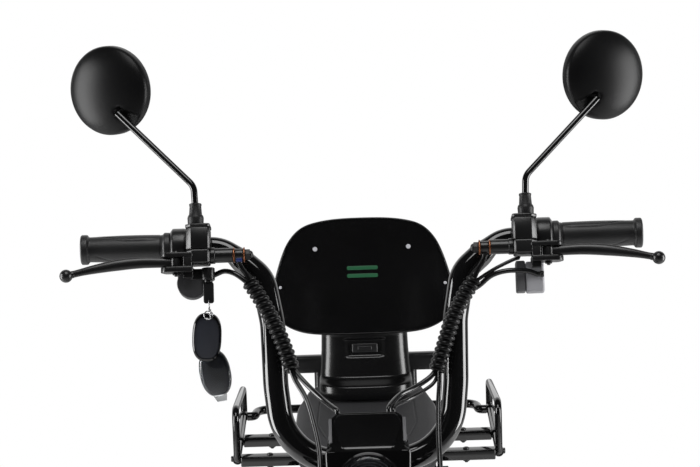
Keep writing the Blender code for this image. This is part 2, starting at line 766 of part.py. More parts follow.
def chain():
    """The chain, one fixed loop of waisted links that wraps ring and sprocket along their tangents."""
    (ay, az), (by, bz) = (BB_Y, BB_Z), (REAR_Y, WHEEL_R)
    heading = math.atan2(bz - az, by - ay)
    span = math.hypot(by - ay, bz - az)
    lean = math.acos((RING_R - SPROCKET_R) / span)
    run = span * math.sin(lean)
    ring_arc = RING_R * 2 * (math.pi - lean)
    sprocket_arc = SPROCKET_R * 2 * lean
    total = 2 * run + ring_arc + sprocket_arc
    links = 2 * round(total / LINK_PITCH / 2)

    def along(s):
        """Place on the pitch line and its outward direction, s metres round the loop."""
        s %= total
        if s < ring_arc:
            a = heading + lean + s / RING_R
            return Vector((ay, az)) + RING_R * Vector((math.cos(a), math.sin(a))), a
        s -= ring_arc
        if s < run:
            a = heading - lean
            start = Vector((ay, az)) + RING_R * Vector((math.cos(a), math.sin(a)))
            return start + s * Vector((-math.sin(a), math.cos(a))), a
        s -= run
        if s < sprocket_arc:
            a = heading - lean + s / SPROCKET_R
            return Vector((by, bz)) + SPROCKET_R * Vector((math.cos(a), math.sin(a))), a
        s -= sprocket_arc
        a = heading + lean
        start = Vector((by, bz)) + SPROCKET_R * Vector((math.cos(a), math.sin(a)))
        return start + s * Vector((-math.sin(a), math.cos(a))), a

    outer, inner = [], []
    for i in range(2 * links):
        place, a = along(total * i / (2 * links))
        half = LINK_HALF if i % 2 == 0 else LINK_WAIST
        out = Vector((math.cos(a), math.sin(a)))
        outer.append(tuple(place + out * half))
        inner.append(tuple(place - out * half))
    low, high = -CHAIN_X - CHAIN_W / 2, -CHAIN_X + CHAIN_W / 2
    return ring_plate(outer, inner, low, high)


def ring_plate(outer, inner, low, high):
    """A flat band across X between two loops of as many points."""
    bm = bmesh.new()
    order = ((outer, low), (outer, high), (inner, high), (inner, low))
    loops = [[bm.verts.new((x, y, z)) for y, z in loop] for loop, x in order]
    count = len(outer)
    for one, two in zip(loops, loops[1:] + loops[:1]):
        for i in range(count):
            j = (i + 1) % count
            bm.faces.new((one[i], one[j], two[j], two[i]))
    return as_object(bm)


def caliper(disc_x):
    """A brake caliper astride a disc."""
    body = block((disc_x - 0.011, -0.019, -0.014), (disc_x + 0.009, 0.019, 0.016), 0.003, 2)
    slot = block((disc_x - 0.0028, -0.03, -0.03), (disc_x + 0.0028, 0.03, 0.009))
    body = carve(body, slot)
    return body


def rear_caliper():
    """The rear caliper on its bracket inside the left arm."""
    body = caliper(REAR_DISC_X)
    lean = math.radians(-20)
    place = Matrix.Translation((0, REAR_Y, WHEEL_R)) @ Matrix.Rotation(-lean, 4, "X")
    body = move(body, place @ Matrix.Translation((0, 0, DISC_R - 0.004)))
    bracket = plate(
        strap((0.0, 0.0), 0.018, (0.0, DISC_R - 0.004), 0.016), "X", REAR_DISC_X + 0.0045, ARM_X - SEAT_GAP,
    )
    hole = rod((0, 0, 0), (0.2, 0, 0), AXLE_R + SEAT_GAP, 20)
    bracket = move(carve(bracket, hole), place)
    return weld(body, bracket)


def tyre():
    """A tyre round the X axis."""
    bead = RIM_W / 2 - 0.0035
    half = TYRE_W / 2
    side = [(bead, RIM_R + SEAT_GAP), (bead, RIM_R + 0.011), (half, RIM_R + 0.042),
            (half * 0.84, WHEEL_R - 0.012), (half * 0.30, WHEEL_R)]
    profile = side + [(-x, r) for x, r in reversed(side)]
    return turned(profile, steps=WHEEL_STEPS)


def rim():
    """The cast wheel's rim."""
    half = RIM_W / 2
    inner = RIM_R - 0.020
    return turned(
        [(-half, RIM_R + 0.010), (-half + 0.006, inner), (half - 0.006, inner), (half, RIM_R + 0.010),
         (half - 0.003, RIM_R + 0.010), (half - 0.003, RIM_R), (-half + 0.003, RIM_R),
         (-half + 0.003, RIM_R + 0.010)],
        steps=WHEEL_STEPS,
    )


def spokes(hub_r):
    """The cast spokes, each a tapered box from the hub into the rim."""
    made = []
    for i in range(SPOKES):
        turn = Matrix.Rotation(2 * math.pi * i / SPOKES, 4, "X")
        root, tip = 0.021, 0.015
        low, high = hub_r - 0.010, RIM_R - 0.012
        bar = plate([(-root, low), (root, low), (tip, high), (-tip, high)], "X", -0.011, 0.011)
        made.append(move(bar, turn))
    return made


def front_wheel():
    """Cast front wheel with its hub."""
    hub = turned(
        [(-0.0500, FRONT_AXLE_R + RUN_GAP), (-0.0500, 0.018), (-0.030, 0.020), (-0.024, 0.033),
         (0.024, 0.033), (0.030, 0.022), (0.0450, 0.022), (0.0450, 0.018), (0.0500, 0.018),
         (0.0500, FRONT_AXLE_R + RUN_GAP)],
        steps=14,
    )
    return weld(rim(), hub, *spokes(0.033))


def brake_disc(x, bore):
    """A brake disc."""
    near, far = x - DISC_T / 2, x + DISC_T / 2
    return turned([(near, bore), (near, DISC_R), (far, DISC_R), (far, bore)], steps=24)


def rear_wheel():
    """Cast rear wheel with the motor in its hub and the sprocket at its side."""
    hub = turned(
        [(-0.0555, AXLE_R + RUN_GAP), (-0.0555, 0.016), (-0.0520, 0.016), (-0.0520, SPROCKET_R - 0.0049),
         (-0.0485, SPROCKET_R - 0.0049), (-0.0485, 0.024), (-0.040, 0.030), (-0.035, 0.086),
         (-0.028, 0.092), (0.028, 0.092), (0.035, 0.086), (0.040, 0.030), (0.0460, 0.026),
         (0.0460, 0.0175), (0.0540, 0.0175), (0.0540, AXLE_R + RUN_GAP)],
        steps=18,
    )
    return weld(rim(), hub, *spokes(0.092))


def crank():
    """Axle, chainring and both arms, one level pair."""
    axle = rod((-CRANK_X - CRANK_T, 0, 0), (CRANK_X + CRANK_T, 0, 0), CRANK_AXLE_R, 12)
    ring = turned(
        [
            (-CHAIN_X - 0.0016, 0.005), (-CHAIN_X - 0.0016, RING_R - 0.0050),
            (-CHAIN_X + 0.0016, RING_R - 0.0050), (-CHAIN_X + 0.0016, 0.005),
        ],
        steps=30,
    )
    cuts = []
    for i in range(5):
        a = 2 * math.pi * i / 5
        y, z = 0.042 * math.cos(a), 0.042 * math.sin(a)
        cuts.append(rod((-0.08, y, z), (-0.02, y, z), 0.014, 8))
    ring = carve(ring, *cuts)
    arms = []
    for s in (1, -1):
        near, far = sorted((s * CRANK_X, s * (CRANK_X + CRANK_T)))
        arms.append(plate(strap((0, 0), 0.016, (-s * CRANK_L, 0), 0.0105, 16), "X", near, far))
        root, end = CRANK_X + 0.002, CRANK_X + CRANK_T + PEDAL_W + 0.004
        arms.append(rod((s * root, -s * CRANK_L, 0), (s * end, -s * CRANK_L, 0), PEDAL_AXLE_R, 14))
    spider = rod((-CRANK_X - 0.002, 0, 0), (-CHAIN_X + 0.001, 0, 0), 0.020, 20)
    return weld(axle, ring, spider, *arms)


def pedal(side):
    """A block pedal that turns on its own axle, with two tread bars and a core."""
    near = CRANK_X + CRANK_T + 0.003
    far = near + PEDAL_W
    core = rod((near, 0, 0), (far, 0, 0), 0.0115, 20)
    bars = [
        block((near + 0.004, y - 0.010, -0.0115), (far, y + 0.010, 0.0115), 0.003, 1)
        for y in (0.036, -0.036)
    ]
    ends = [block((x, -0.030, -0.007), (x + 0.008, 0.030, 0.007)) for x in (near + 0.006, far - 0.012)]
    body = weld(core, *bars, *ends)
    body = carve(body, bore((near - 0.01, 0, 0), (far + 0.01, 0, 0), PEDAL_AXLE_R + RUN_GAP, 12))
    return body if side > 0 else move(body, Matrix.Scale(-1.0, 4, (1, 0, 0)))


def centre_stand():
    """Two splayed legs, their brace and the pin, in the stand axis's own frame."""
    drop = STAND_Z - STAND_LEG_R
    ahead = -0.025
    ear_x = 0.0305
    parts = [rod((-0.031, 0, 0), (0.031, 0, 0), STAND_PIN_R, 16)]
    for s in (1, -1):
        near, far = sorted((s * 0.0205, s * 0.0315))
        parts.append(plate(strap((0, 0), 0.013, (ahead * 0.12, -drop * 0.12), 0.010), "X", near, far))
        leg = bend(
            [
                (s * ear_x, 0, 0), (s * (ear_x + 0.012), ahead * 0.25, -drop * 0.25),
                (s * STAND_FOOT_X, ahead, -drop), (s * (STAND_FOOT_X + 0.020), ahead, -drop),
            ],
            [0.03, 0.015],
        )
        parts.append(tube(leg, STAND_LEG_R, 2))
    brace = 0.45
    bx = ear_x + 0.012 + (STAND_FOOT_X - ear_x - 0.012) * (brace - 0.25) / 0.75
    parts.append(rod((-bx, ahead * brace, -drop * brace), (bx, ahead * brace, -drop * brace), 0.006, 12))
    return weld(*parts)


def yoke(top):
    """A fork yoke: the hull of the steerer boss and both leg bosses."""
    bm = bmesh.new()
    for x, y, r in ((0, 0.0, 0.030), (LEG_X, -FORK_OFFSET, YOKE_LEG_R), (-LEG_X, -FORK_OFFSET, YOKE_LEG_R)):
        for i in range(12):
            a = 2 * math.pi * i / 12
            for z in (top - YOKE_T, top):
                bm.verts.new((x + r * math.cos(a), y + r * math.sin(a), z))
    bmesh.ops.convex_hull(bm, input=bm.verts[:])
    return as_object(bm)


def fork_uppers():
    """Both yokes, the steerer, the stanchions and the bar clamps."""
    upper = HEAD_TOP + 0.001 + YOKE_T
    lower = HEAD_BOTTOM - 0.001
    parts = [
        yoke(upper), yoke(lower), rod((0, 0, lower - YOKE_T / 2), (0, 0, upper - YOKE_T / 2), STEERER_R, 16),
    ]
    for x in (LEG_X, -LEG_X):
        ends = (x, -FORK_OFFSET, LOWER_TOP - 0.10), (x, -FORK_OFFSET, upper + 0.004)
        parts.append(rod(*ends, STANCHION_R, 12))
    parts.append(block((-CLAMP_W / 2, -0.0215, upper - 0.006), (CLAMP_W / 2, 0.0215, BAR_FOOT_Z + 0.021)))
    clip_y = -FORK_OFFSET - YOKE_LEG_R
    parts.append(block((0.0770, clip_y - 0.0110, lower - 0.014), (0.0870, clip_y + 0.008, HOSE_CLIP_Z)))
    uppers = weld(*parts)
    bar_bore = bore((-0.06, 0, BAR_FOOT_Z), (0.06, 0, BAR_FOOT_Z), BAR_R + SEAT_GAP)
    return carve(uppers, bar_bore)


def fork_lowers():
    """Both lower legs, joined by the front axle and the arch over the tyre."""
    parts = []
    for s in (1, -1):
        x, y = s * LEG_X, -FORK_OFFSET
        leg = turned(
            [(-FORK_LENGTH - 0.026, 0.0), (-FORK_LENGTH - 0.026, 0.016), (-FORK_LENGTH - 0.018, LOWER_R),
             (LOWER_TOP - 0.012, LOWER_R),
             (LOWER_TOP - 0.010, LOWER_R + 0.0025), (LOWER_TOP, LOWER_R + 0.0025), (LOWER_TOP, 0.0)],
            "Z", (x, y, 0), 12,
        )
        parts.append(leg)
    reach = LEG_X - LOWER_R
    axle_ends = (-LEG_X, -FORK_OFFSET, -FORK_LENGTH), (LEG_X, -FORK_OFFSET, -FORK_LENGTH)
    parts.append(rod(*axle_ends, FRONT_AXLE_R, 16))
    axle = (-FORK_OFFSET, -FORK_LENGTH)
    side = LEG_X + LOWER_R
    for s in (1, -1):
        parts.append(rod((s * (reach + 0.004), *axle), (s * 0.0508, *axle), 0.013, 16))
        parts.append(rod((s * (side - 0.003), *axle), (s * (side + 0.008), *axle), 0.012, 6))
    arch_z = -FORK_LENGTH + WHEEL_R + 0.040
    arch_y = -FORK_OFFSET - LOWER_R + 0.006
    half = [(LEG_X, arch_y, arch_z - 0.045), (LEG_X - 0.018, arch_y, arch_z)]
    route = half + [(-x, y, z) for x, y, z in reversed(half)]
    parts.append(tube(bend(route, [0.02, 0.02]), 0.008))
    lowers = weld(*parts)
    bores = []
    for x in (LEG_X, -LEG_X):
        ends = (x, -FORK_OFFSET, LOWER_TOP - 0.101), (x, -FORK_OFFSET, LOWER_TOP + 0.05)
        bores.append(rod(*ends, STANCHION_R + SEAT_GAP, 12))
    return carve(lowers, *bores)


def front_fender():
    """The front mudguard with its wire stays, in the steering frame."""
    guard = fender(WHEEL_R + 0.017, 0.045, math.radians(-45), math.radians(95))
    stays = []
    for s in (1, -1):
        tip = Matrix.Rotation(math.radians(-70), 3, "X") @ Vector((0, 0, WHEEL_R + 0.012))
        inset = 0.014
        back = math.sqrt(LOWER_R**2 - inset**2) + 0.0025 + SEAT_GAP
        foot = Matrix.Rotation(-RAKE, 3, "X") @ Vector((s * (LEG_X - inset), back, 0.030))
        stays.append(tube([foot, Vector((s * 0.0440, tip.y, tip.z))], 0.0025, 2))
    guard = weld(guard, *stays)
    place = Matrix.Translation((0, -FORK_OFFSET, -FORK_LENGTH)) @ Matrix.Rotation(RAKE, 4, "X")
    return move(guard, place)


def front_caliper():
    """The front caliper behind the left leg."""
    body = caliper(FRONT_DISC_X)
    place = Matrix.Translation((0, -FORK_OFFSET, -FORK_LENGTH)) @ Matrix.Rotation(-CALIPER_LEAN, 4, "X")
    body = move(body, place @ Matrix.Translation((0, 0, DISC_R - 0.004)))
    seat = place @ Vector((0, 0, DISC_R - 0.004))
    tongue = plate(
        strap((seat.y, seat.z), 0.013, (-FORK_OFFSET, seat.z + 0.004), 0.010, 12),
        "X", FRONT_DISC_X + 0.0038, LEG_X - LOWER_R - SEAT_GAP,
    )
    return weld(body, tongue)


def headlight_housing():
    """The lamp's moulded bucket with its sloping forehead, in the steering frame."""
    half = 0.046
    top = LAMP_TOP - SEAT_GAP
    outline = [
        (-half, -0.064), (half, -0.064), (half + 0.003, 0.016), (0.040, top), (-0.040, top),
        (-half - 0.003, 0.016),
    ]
    outline = round_corners(outline, [0.02, 0.02, 0.02, 0.012, 0.012, 0.02])
    bucket = plate(outline, "Y", LAMP_BACK - 0.052, LAMP_BACK - SEAT_GAP, 0.004)
    brow = block((-0.09, -0.09, 0.0), (0.09, -0.02, 0.09))
    slope = Matrix.Rotation(math.radians(52), 4, "X") @ Matrix.Translation((0, 0.02, 0))
    return carve(bucket, move(brow, Matrix.Translation((0, LAMP_BACK - 0.014, LAMP_TOP)) @ slope))


def headlight_lens():
    """The round front glass of the lamp."""
    y = LAMP_BACK - 0.052 - SEAT_GAP
    lens = turned([(0.0, 0.0), (0.0, 0.036), (0.006, 0.034), (0.012, 0.016), (0.012, 0.0)], "Z", steps=20)
    return move(lens, Matrix.Translation((0, y, -0.022)) @ Matrix.Rotation(math.radians(90), 4, "X"))


def handlebar():
    """One bent tube, thick through the U and thinner under the controls."""
    half = [
        (BAR_END_X, BAR_HEIGHT), (0.166, BAR_HEIGHT), (0.119, BAR_HEIGHT - 0.041),
        (BAR_SIDE_X, BAR_HEIGHT - 0.096),
        (BAR_SIDE_X - 0.002, BAR_HEIGHT - 0.171), (0.097, BAR_FOOT_Z),
    ]
    radii = [0.040, 0.040, 0.080, 0.150, 0.070]
    corners = half + [(-x, z) for x, z in reversed(half)]
    route = bend([(x, 0, z) for x, z in corners], radii + radii[::-1], math.radians(22))
    thin = BAR_END_R / BAR_R

    def scale(point):
        blend = min(max((abs(point.x) - 0.140) / 0.020, 0.0), 1.0)
        return 1.0 + (thin - 1.0) * blend

    return tube(route, BAR_R, 3, [scale(p) for p in route])


def grip(side):
    """A closed rubber sleeve with a flange at its outer end."""
    bore = clear_radius(BAR_END_R + SEAT_GAP, 14)
    profile = [(BAR_END_X + 0.0008, 0.0), (BAR_END_X + 0.0008, bore), (GRIP_START_X, bore),
               (GRIP_START_X, GRIP_R - 0.001),
               (GRIP_START_X + 0.004, GRIP_R), (GRIP_END_X - 0.011, GRIP_R),
               (GRIP_END_X - 0.009, GRIP_R + 0.002),
               (GRIP_END_X - 0.001, GRIP_R + 0.002), (GRIP_END_X, GRIP_R - 0.001), (GRIP_END_X, 0.0)]
    sleeve = turned(profile, "X", (0, 0, BAR_HEIGHT), 14)
    return sleeve if side > 0 else move(sleeve, Matrix.Scale(-1.0, 4, (1, 0, 0)))


def control_collar(low_x, high_x, radius):
    """A round housing on the bar."""
    bore_r = clear_radius(BAR_END_R + SEAT_GAP, 14)
    profile = [
        (low_x, bore_r), (low_x, radius - 0.002), (low_x + 0.002, radius), (high_x - 0.002, radius),
        (high_x, radius - 0.002), (high_x, bore_r),
    ]
    return turned(profile, "X", (0, 0, BAR_HEIGHT), 14)


def throttle_housing():
    """The throttle and lock housing on the rider's right: collar, round cover and lock barrel."""
    collar = control_collar(-0.2290, -0.2085, 0.0225)
    cover = rod((COVER_X, COVER_FRONT, COVER_Z), (COVER_X, COVER_FRONT + 0.0180, COVER_Z), COVER_R, 20)
    neck = block((-0.2200, COVER_FRONT + 0.003, COVER_Z), (-0.2100, COVER_FRONT + 0.015, BAR_HEIGHT - 0.009))
    low = (COVER_X, COVER_FRONT - 0.001, COVER_Z + 0.004)
    high = (KEY_X + 0.006, COVER_FRONT + 0.016, COVER_Z + 0.017)
    arm = block(low, high, 0.001, 1)
    lock = rod((KEY_X, KEY_Y, LOCK_Z), (KEY_X, KEY_Y, COVER_Z + 0.017), 0.0075, 14)
    return weld(collar, neck, cover, arm, lock)


def switch_housing():
    """The switch box on the rider's left, with the gland of its cable."""
    collar = control_collar(0.2085, 0.2290, 0.0225)
    body = block((0.1825, SWITCH_FRONT, SWITCH_TOP - 0.037), (0.2155, -0.006, SWITCH_TOP), 0.004, 1)
    neck = block((0.2095, -0.0195, SWITCH_TOP - 0.004), (0.2148, -0.0070, BAR_HEIGHT - 0.009))
    low = (GLAND_X, SWITCH_FRONT - 0.008, GLAND_Z - 0.004)
    high = (0.2150, SWITCH_FRONT + 0.003, GLAND_Z + 0.004)
    gland = block(low, high, 0.001, 1)
    return weld(collar, neck, body, gland)


def brake_master(side):
    """Clamp, reservoir block with the mirror's seat, cylinder, washers, banjo and bolt."""
    y, z = BANJO_Y, BANJO_Z
    clamp = rod((0.1830, 0, BAR_HEIGHT), (0.2080, 0, BAR_HEIGHT), 0.0170, 14)
    reservoir = block((0.1800, -0.044, BLOCK_FOOT), (0.2075, -0.012, BLOCK_TOP), 0.005, 1)
    cylinder = rod((0.1520, y, z), (0.2080, y, z), 0.0090, 12)
    washers = [rod((x, y, z), (x + 0.0016, y, z), 0.0088, 10) for x in (0.1500, 0.1385)]
    banjo = rod((0.1390, y, z), (0.1525, y, z), BANJO_R, 12)
    bolt = rod((0.1290, y, z), (0.1390, y, z), 0.0065, 6)
    pivot = block((0.2060, -0.046, LEVER_Z - 0.013), (0.2400, -0.0235, LEVER_Z + 0.012), 0.004, 1)
    body = weld(clamp, reservoir, cylinder, banjo, bolt, pivot, *washers)
    body = carve(body, bore((0.1, 0, BAR_HEIGHT), (0.3, 0, BAR_HEIGHT), BAR_END_R + SEAT_GAP))
    slot = block((0.2130, -0.060, LEVER_Z - LEVER_SLOT), (0.260, -0.010, LEVER_Z + LEVER_SLOT))
    body = carve(body, slot)
    body = weld(body, rod((*LEVER_PIN, LEVER_Z - 0.009), (*LEVER_PIN, LEVER_Z + 0.009), LEVER_PIN_R, 10))
    return body if side > 0 else move(body, Matrix.Scale(-1.0, 4, (1, 0, 0)))


def brake_lever(side):
    """The eye on its pin, the blade and its ball end."""
    start, end = Vector((*LEVER_PIN, LEVER_Z)), Vector((0.3420, -0.050, LEVER_Z - 0.014))
    half = LEVER_SLOT - SEAT_GAP
    eye = rod((*LEVER_PIN, LEVER_Z - half), (*LEVER_PIN, LEVER_Z + half), 0.0065, 12)
    hole = bore((*LEVER_PIN, LEVER_Z - 0.02), (*LEVER_PIN, LEVER_Z + 0.02), LEVER_PIN_R + SEAT_GAP, 10)
    route = [start, (0.262, -0.040, LEVER_Z), (0.305, -0.046, LEVER_Z - 0.007), end]
    blade = tube(smooth(route, 3), 0.0045, 2)
    tip = ball(end + Vector((0.006, 0, -0.001)), 0.0081, rings=6)
    lever = carve(weld(blade, tip, eye), hole)
    return lever if side > 0 else move(lever, Matrix.Scale(-1.0, 4, (1, 0, 0)))


def mirror_stem(side):
    """The rubber boot and the bent rod."""
    boot = turned(
        [
            (BLOCK_TOP + SEAT_GAP, 0.0), (BLOCK_TOP + SEAT_GAP, 0.0100), (BLOCK_TOP + 0.0080, 0.0100),
            (BLOCK_TOP + 0.0105, 0.0072), (BLOCK_TOP + 0.0250, 0.0060), (BLOCK_TOP + 0.0260, 0.0),
        ],
        "Z", (MIRROR_X, MIRROR_Y, 0), 16,
    )
    route = [(MIRROR_X, MIRROR_Y, BLOCK_TOP + 0.013), (0.1980, MIRROR_Y, BLOCK_TOP + 0.047), STEM_TOP]
    stem = tube(bend(route, [0.018]), 0.0040, 2)
    body = weld(boot, stem)
    return body if side > 0 else move(body, Matrix.Scale(-1.0, 4, (1, 0, 0)))


def mirror_head(side):
    """The round mirror shell, domed at its back, which faces forward."""
    shell = turned(
        [
            (-0.016, 0.0), (-0.0155, 0.020), (-0.012, 0.038), (-0.004, 0.050), (0.006, 0.054),
            (0.012, 0.0535), (0.012, 0.0),
        ],
        "Z", steps=20,
    )
    turn = Matrix.Rotation(MIRROR_TURN, 4, "Z") @ Matrix.Rotation(MIRROR_TILT, 4, "X")
    shell = move(shell, Matrix.Translation(MIRROR_HEAD) @ turn)
    pocket = tube([Vector(STEM_POCKET), Vector(STEM_TOP)], 0.0040 + SEAT_GAP, 2)
    room = ball(STEM_TOP, 0.0062, rings=6)
    shell = carve(shell, pocket, room)
    return shell if side > 0 else move(shell, Matrix.Scale(-1.0, 4, (1, 0, 0)))


def from_bar(route):
    """A route whose heights are counted from the bar."""
    return [(x, y, BAR_HEIGHT + z) for x, y, z in route]


def bundle(wrap, above, below):
    """A spiral-wrapped bundle with the hoses that go in above it and come out below."""
    core = tube(smooth(from_bar([(x, WRAP_Y, z) for x, z in wrap]), 2), WRAP_R, 3)
    routes = [(radius, from_bar(route)) for radius, route in above] + below
    return weld(core, *[tube(smooth(route, 2), radius, 1) for radius, route in routes])


def cables_left():
    """The left bundle: banjo hose and two wires in, headlight wires and the rear brake's hose out."""
    start = BANJO_Z - BANJO_R - SEAT_GAP - BAR_HEIGHT
    block_foot = BLOCK_FOOT - SEAT_GAP - BAR_HEIGHT
    gland_y, gland_z = SWITCH_FRONT - 0.0045, GLAND_Z - BAR_HEIGHT
    exit_z = BAR_HEIGHT + WRAP_LEFT[-1][1] + 0.006
    above = [
        (HOSE_R, [(BANJO_X, BANJO_Y, start), (BANJO_X, BANJO_Y, start - 0.003),
                  (0.1425, -0.0290, -0.0350), (0.1365, -0.0270, -0.0440), (0.1290, WRAP_Y, -0.0600)]),
        (CABLE_R, [(0.1860, -0.0300, block_foot), (0.1858, -0.0300, block_foot - 0.002),
                   (0.1790, -0.0310, -0.0332), (0.1589, -0.0310, -0.0424), (0.1413, -0.0280, -0.0522),
                   (0.1300, WRAP_Y, -0.0600)]),
        (HOSE_R, [(GLAND_X - SEAT_GAP, gland_y, gland_z), (GLAND_X - 0.0040, gland_y, gland_z),
                  (0.1950, -0.0300, -0.0470), (0.1720, -0.0330, -0.0465), (0.1530, -0.0300, -0.0510),
                  (0.1380, -0.0260, -0.0620), (0.1250, WRAP_Y, -0.0690)]),
    ]
    below = [
        (HOSE_R, [(0.0860, WRAP_Y, exit_z + 0.001), (0.0775, -0.0265, 0.1130), (0.0585, -0.0340, 0.0996),
                  (0.0408, -0.0480, 0.0899), (0.0297, -0.0660, 0.0782),
                  (0.0255, LAMP_BACK - 0.008, LAMP_TOP + 0.004), (0.0255, LAMP_BACK - 0.008, LAMP_TOP)]),
        (CABLE_R, [(0.0865, WRAP_Y, exit_z - 0.001), (0.0810, -0.0270, 0.1060), (0.0660, -0.0330, 0.0940),
                   (0.0494, -0.0440, 0.0840), (0.0350, -0.0640, 0.0760),
                   (0.0310, LAMP_BACK - 0.006, LAMP_TOP + 0.003), (0.0310, LAMP_BACK - 0.006, LAMP_TOP)]),
        (HOSE_R, [(0.0875, WRAP_Y, exit_z - 0.001), (0.0868, -0.0280, 0.1050), (0.0844, -0.0340, 0.0790),
                  (0.0828, -0.0490, 0.0396), (0.0826, -0.0640, 0.0140), (0.0824, -0.0722, -0.0030),
                  (0.0822, -0.0745, -0.0250), (0.0822, -0.0760, -0.0800),
                  (0.0820, -0.0750, HOSE_CLIP_Z + SEAT_GAP)]),
    ]
    return bundle(WRAP_LEFT, above, below)


def cables_right():
    """The right bundle: banjo hose and throttle cable in, headlight wires and the front brake's hose out."""
    start = BANJO_Z - BANJO_R - SEAT_GAP - BAR_HEIGHT
    exit_z = BAR_HEIGHT + WRAP_RIGHT[-1][1] + 0.0035
    caliper_y = -FORK_OFFSET + (DISC_R - 0.004) * math.sin(CALIPER_LEAN)
    caliper_z = -FORK_LENGTH + (DISC_R - 0.004) * math.cos(CALIPER_LEAN)
    behind = -FORK_OFFSET + LOWER_R + HOSE_R
    above = [
        (HOSE_R, [(-BANJO_X, BANJO_Y, start), (-BANJO_X, BANJO_Y, start - 0.003),
                  (-0.1425, -0.0290, -0.0340), (-0.1375, -0.0270, -0.0410), (-0.1310, WRAP_Y, -0.0550)]),
        (HOSE_R, [(-0.1740, -0.0160, -0.0370), (-0.1640, -0.0200, -0.0344), (-0.1520, -0.0260, -0.0385),
                  (-0.1393, -0.0270, -0.0480), (-0.1290, WRAP_Y, -0.0590)]),
    ]
    below = [
        (HOSE_R, [(-0.0880, WRAP_Y, exit_z + 0.001), (-0.0805, -0.0265, 0.1200), (-0.0669, -0.0340, 0.1036),
                  (-0.0497, -0.0500, 0.0850), (-0.0350, LAMP_BACK - 0.007, LAMP_TOP + 0.004),
                  (-0.0340, LAMP_BACK - 0.008, LAMP_TOP)]),
        (HOSE_R, [(-0.0885, WRAP_Y, exit_z - 0.001), (-0.0830, -0.0270, 0.1130), (-0.0705, -0.0340, 0.0890),
                  (-0.0625, -0.0470, 0.0591), (-0.0570, -0.0610, 0.0301), (-0.0555, -0.0710, 0.0060),
                  (-0.0560, -0.0740, -0.0160), (-0.0555, -0.0750, -0.1200), (-0.0520, -0.0740, -0.2150),
                  (-0.0250, -0.0660, -0.2620), (0.0250, -0.0450, -0.2860), (0.0560, -0.0250, -0.3120),
                  (0.0660, behind + 0.0040, -0.3450), (0.0680, behind + 0.0020, -0.4000),
                  (0.0680, behind + 0.0020, -0.4900), (0.0650, behind + 0.0030, -0.5450),
                  (0.0560, caliper_y - 0.0020, caliper_z + 0.0300),
                  (0.0490, caliper_y + 0.0110, caliper_z + 0.0190)]),
    ]
    return bundle(WRAP_RIGHT, above, below)


def key():
    """The key's head and blade end under the lock."""
    low = (KEY_X - 0.006, KEY_Y - KEY_T / 2, KEY_HOLE_Z - 0.0035)
    high = (KEY_X + 0.006, KEY_Y + KEY_T / 2, LOCK_Z - 0.0015)
    head = block(low, high, 0.001, 1)
    hole = rod((KEY_X, KEY_Y - 0.01, KEY_HOLE_Z), (KEY_X, KEY_Y + 0.01, KEY_HOLE_Z), KEY_HOLE_R, 10)
    blade = rod((KEY_X, KEY_Y, LOCK_Z - 0.002), (KEY_X, KEY_Y, LOCK_Z - SEAT_GAP), 0.0035, 10)
    return weld(carve(head, hole), blade)


def key_fobs():
    """The ring that hangs in the key's hole and the two fobs that hang from it straight down."""
    hole_foot = KEY_HOLE_Z - KEY_HOLE_R * math.cos(math.pi / 10)
    sag = FOB_RING_R - math.sqrt(FOB_RING_R**2 - (KEY_T / 2) ** 2)
    ring_z = hole_foot + SEAT_GAP + FOB_WIRE_R + sag - FOB_RING_R
    hexagon = [2 * math.pi * i / 6 for i in range(6)]
    wire = [(FOB_WIRE_R * math.cos(a), FOB_RING_R + FOB_WIRE_R * math.sin(a)) for a in hexagon]
    ring = turned(wire, "X", (KEY_X, KEY_Y, ring_z), 14)
    plumb = Matrix.Translation((KEY_X, KEY_Y, KEY_HOLE_Z - 0.0130)) @ Matrix.Rotation(RAKE, 4, "X")

    def fob(across, down, half_w, half_h, half_t, turn):
        corner = half_w * 0.75
        corners = [(-half_w, -half_h), (half_w, -half_h), (half_w, half_h), (-half_w, half_h)]
        outline = round_corners(corners, [corner] * 4, math.radians(30))
        body = plate(outline, "Y", -half_t, half_t)
        return move(body, plumb @ Matrix.Translation((across, 0.004, down)) @ Matrix.Rotation(turn, 4, "Y"))

    upper = fob(-0.0040, -0.0330, 0.0170, 0.0285, 0.0060, math.radians(4))
    lower = move(
        fob(0.0035, -0.0770, 0.0180, 0.0270, 0.0055, math.radians(-9)), Matrix.Translation((0, 0.0060, 0)),
    )
    lug = move(block((-0.0052, 0.0021, -0.0083), (0.0013, 0.0062, 0.0007)), plumb)
    return weld(upper, lower, lug, ring)


def materials():
    """The finishes."""
    return {
        "gloss": make_material("gloss_black_paint", (0.010, 0.010, 0.011), 0.12),
        "satin": make_material("satin_black_plastic", (0.014, 0.014, 0.015), 0.42),
        "rubber": make_material("black_rubber", (0.018, 0.018, 0.019), 0.65),
        "vinyl": make_material("grey_vinyl", (0.075, 0.075, 0.080), 0.55),
        "tyre": make_material("tyre_rubber", (0.022, 0.022, 0.023), 0.80),
        "steel": make_material("bright_steel", (0.62, 0.62, 0.63), 0.25, 1.0),
        "alloy": make_material("black_alloy", (0.030, 0.030, 0.032), 0.35, 0.6),
        "glass": make_material("clear_lens", (0.80, 0.83, 0.85), 0.05),
        "red": make_material("red_lens", (0.45, 0.02, 0.02), 0.15),
    }


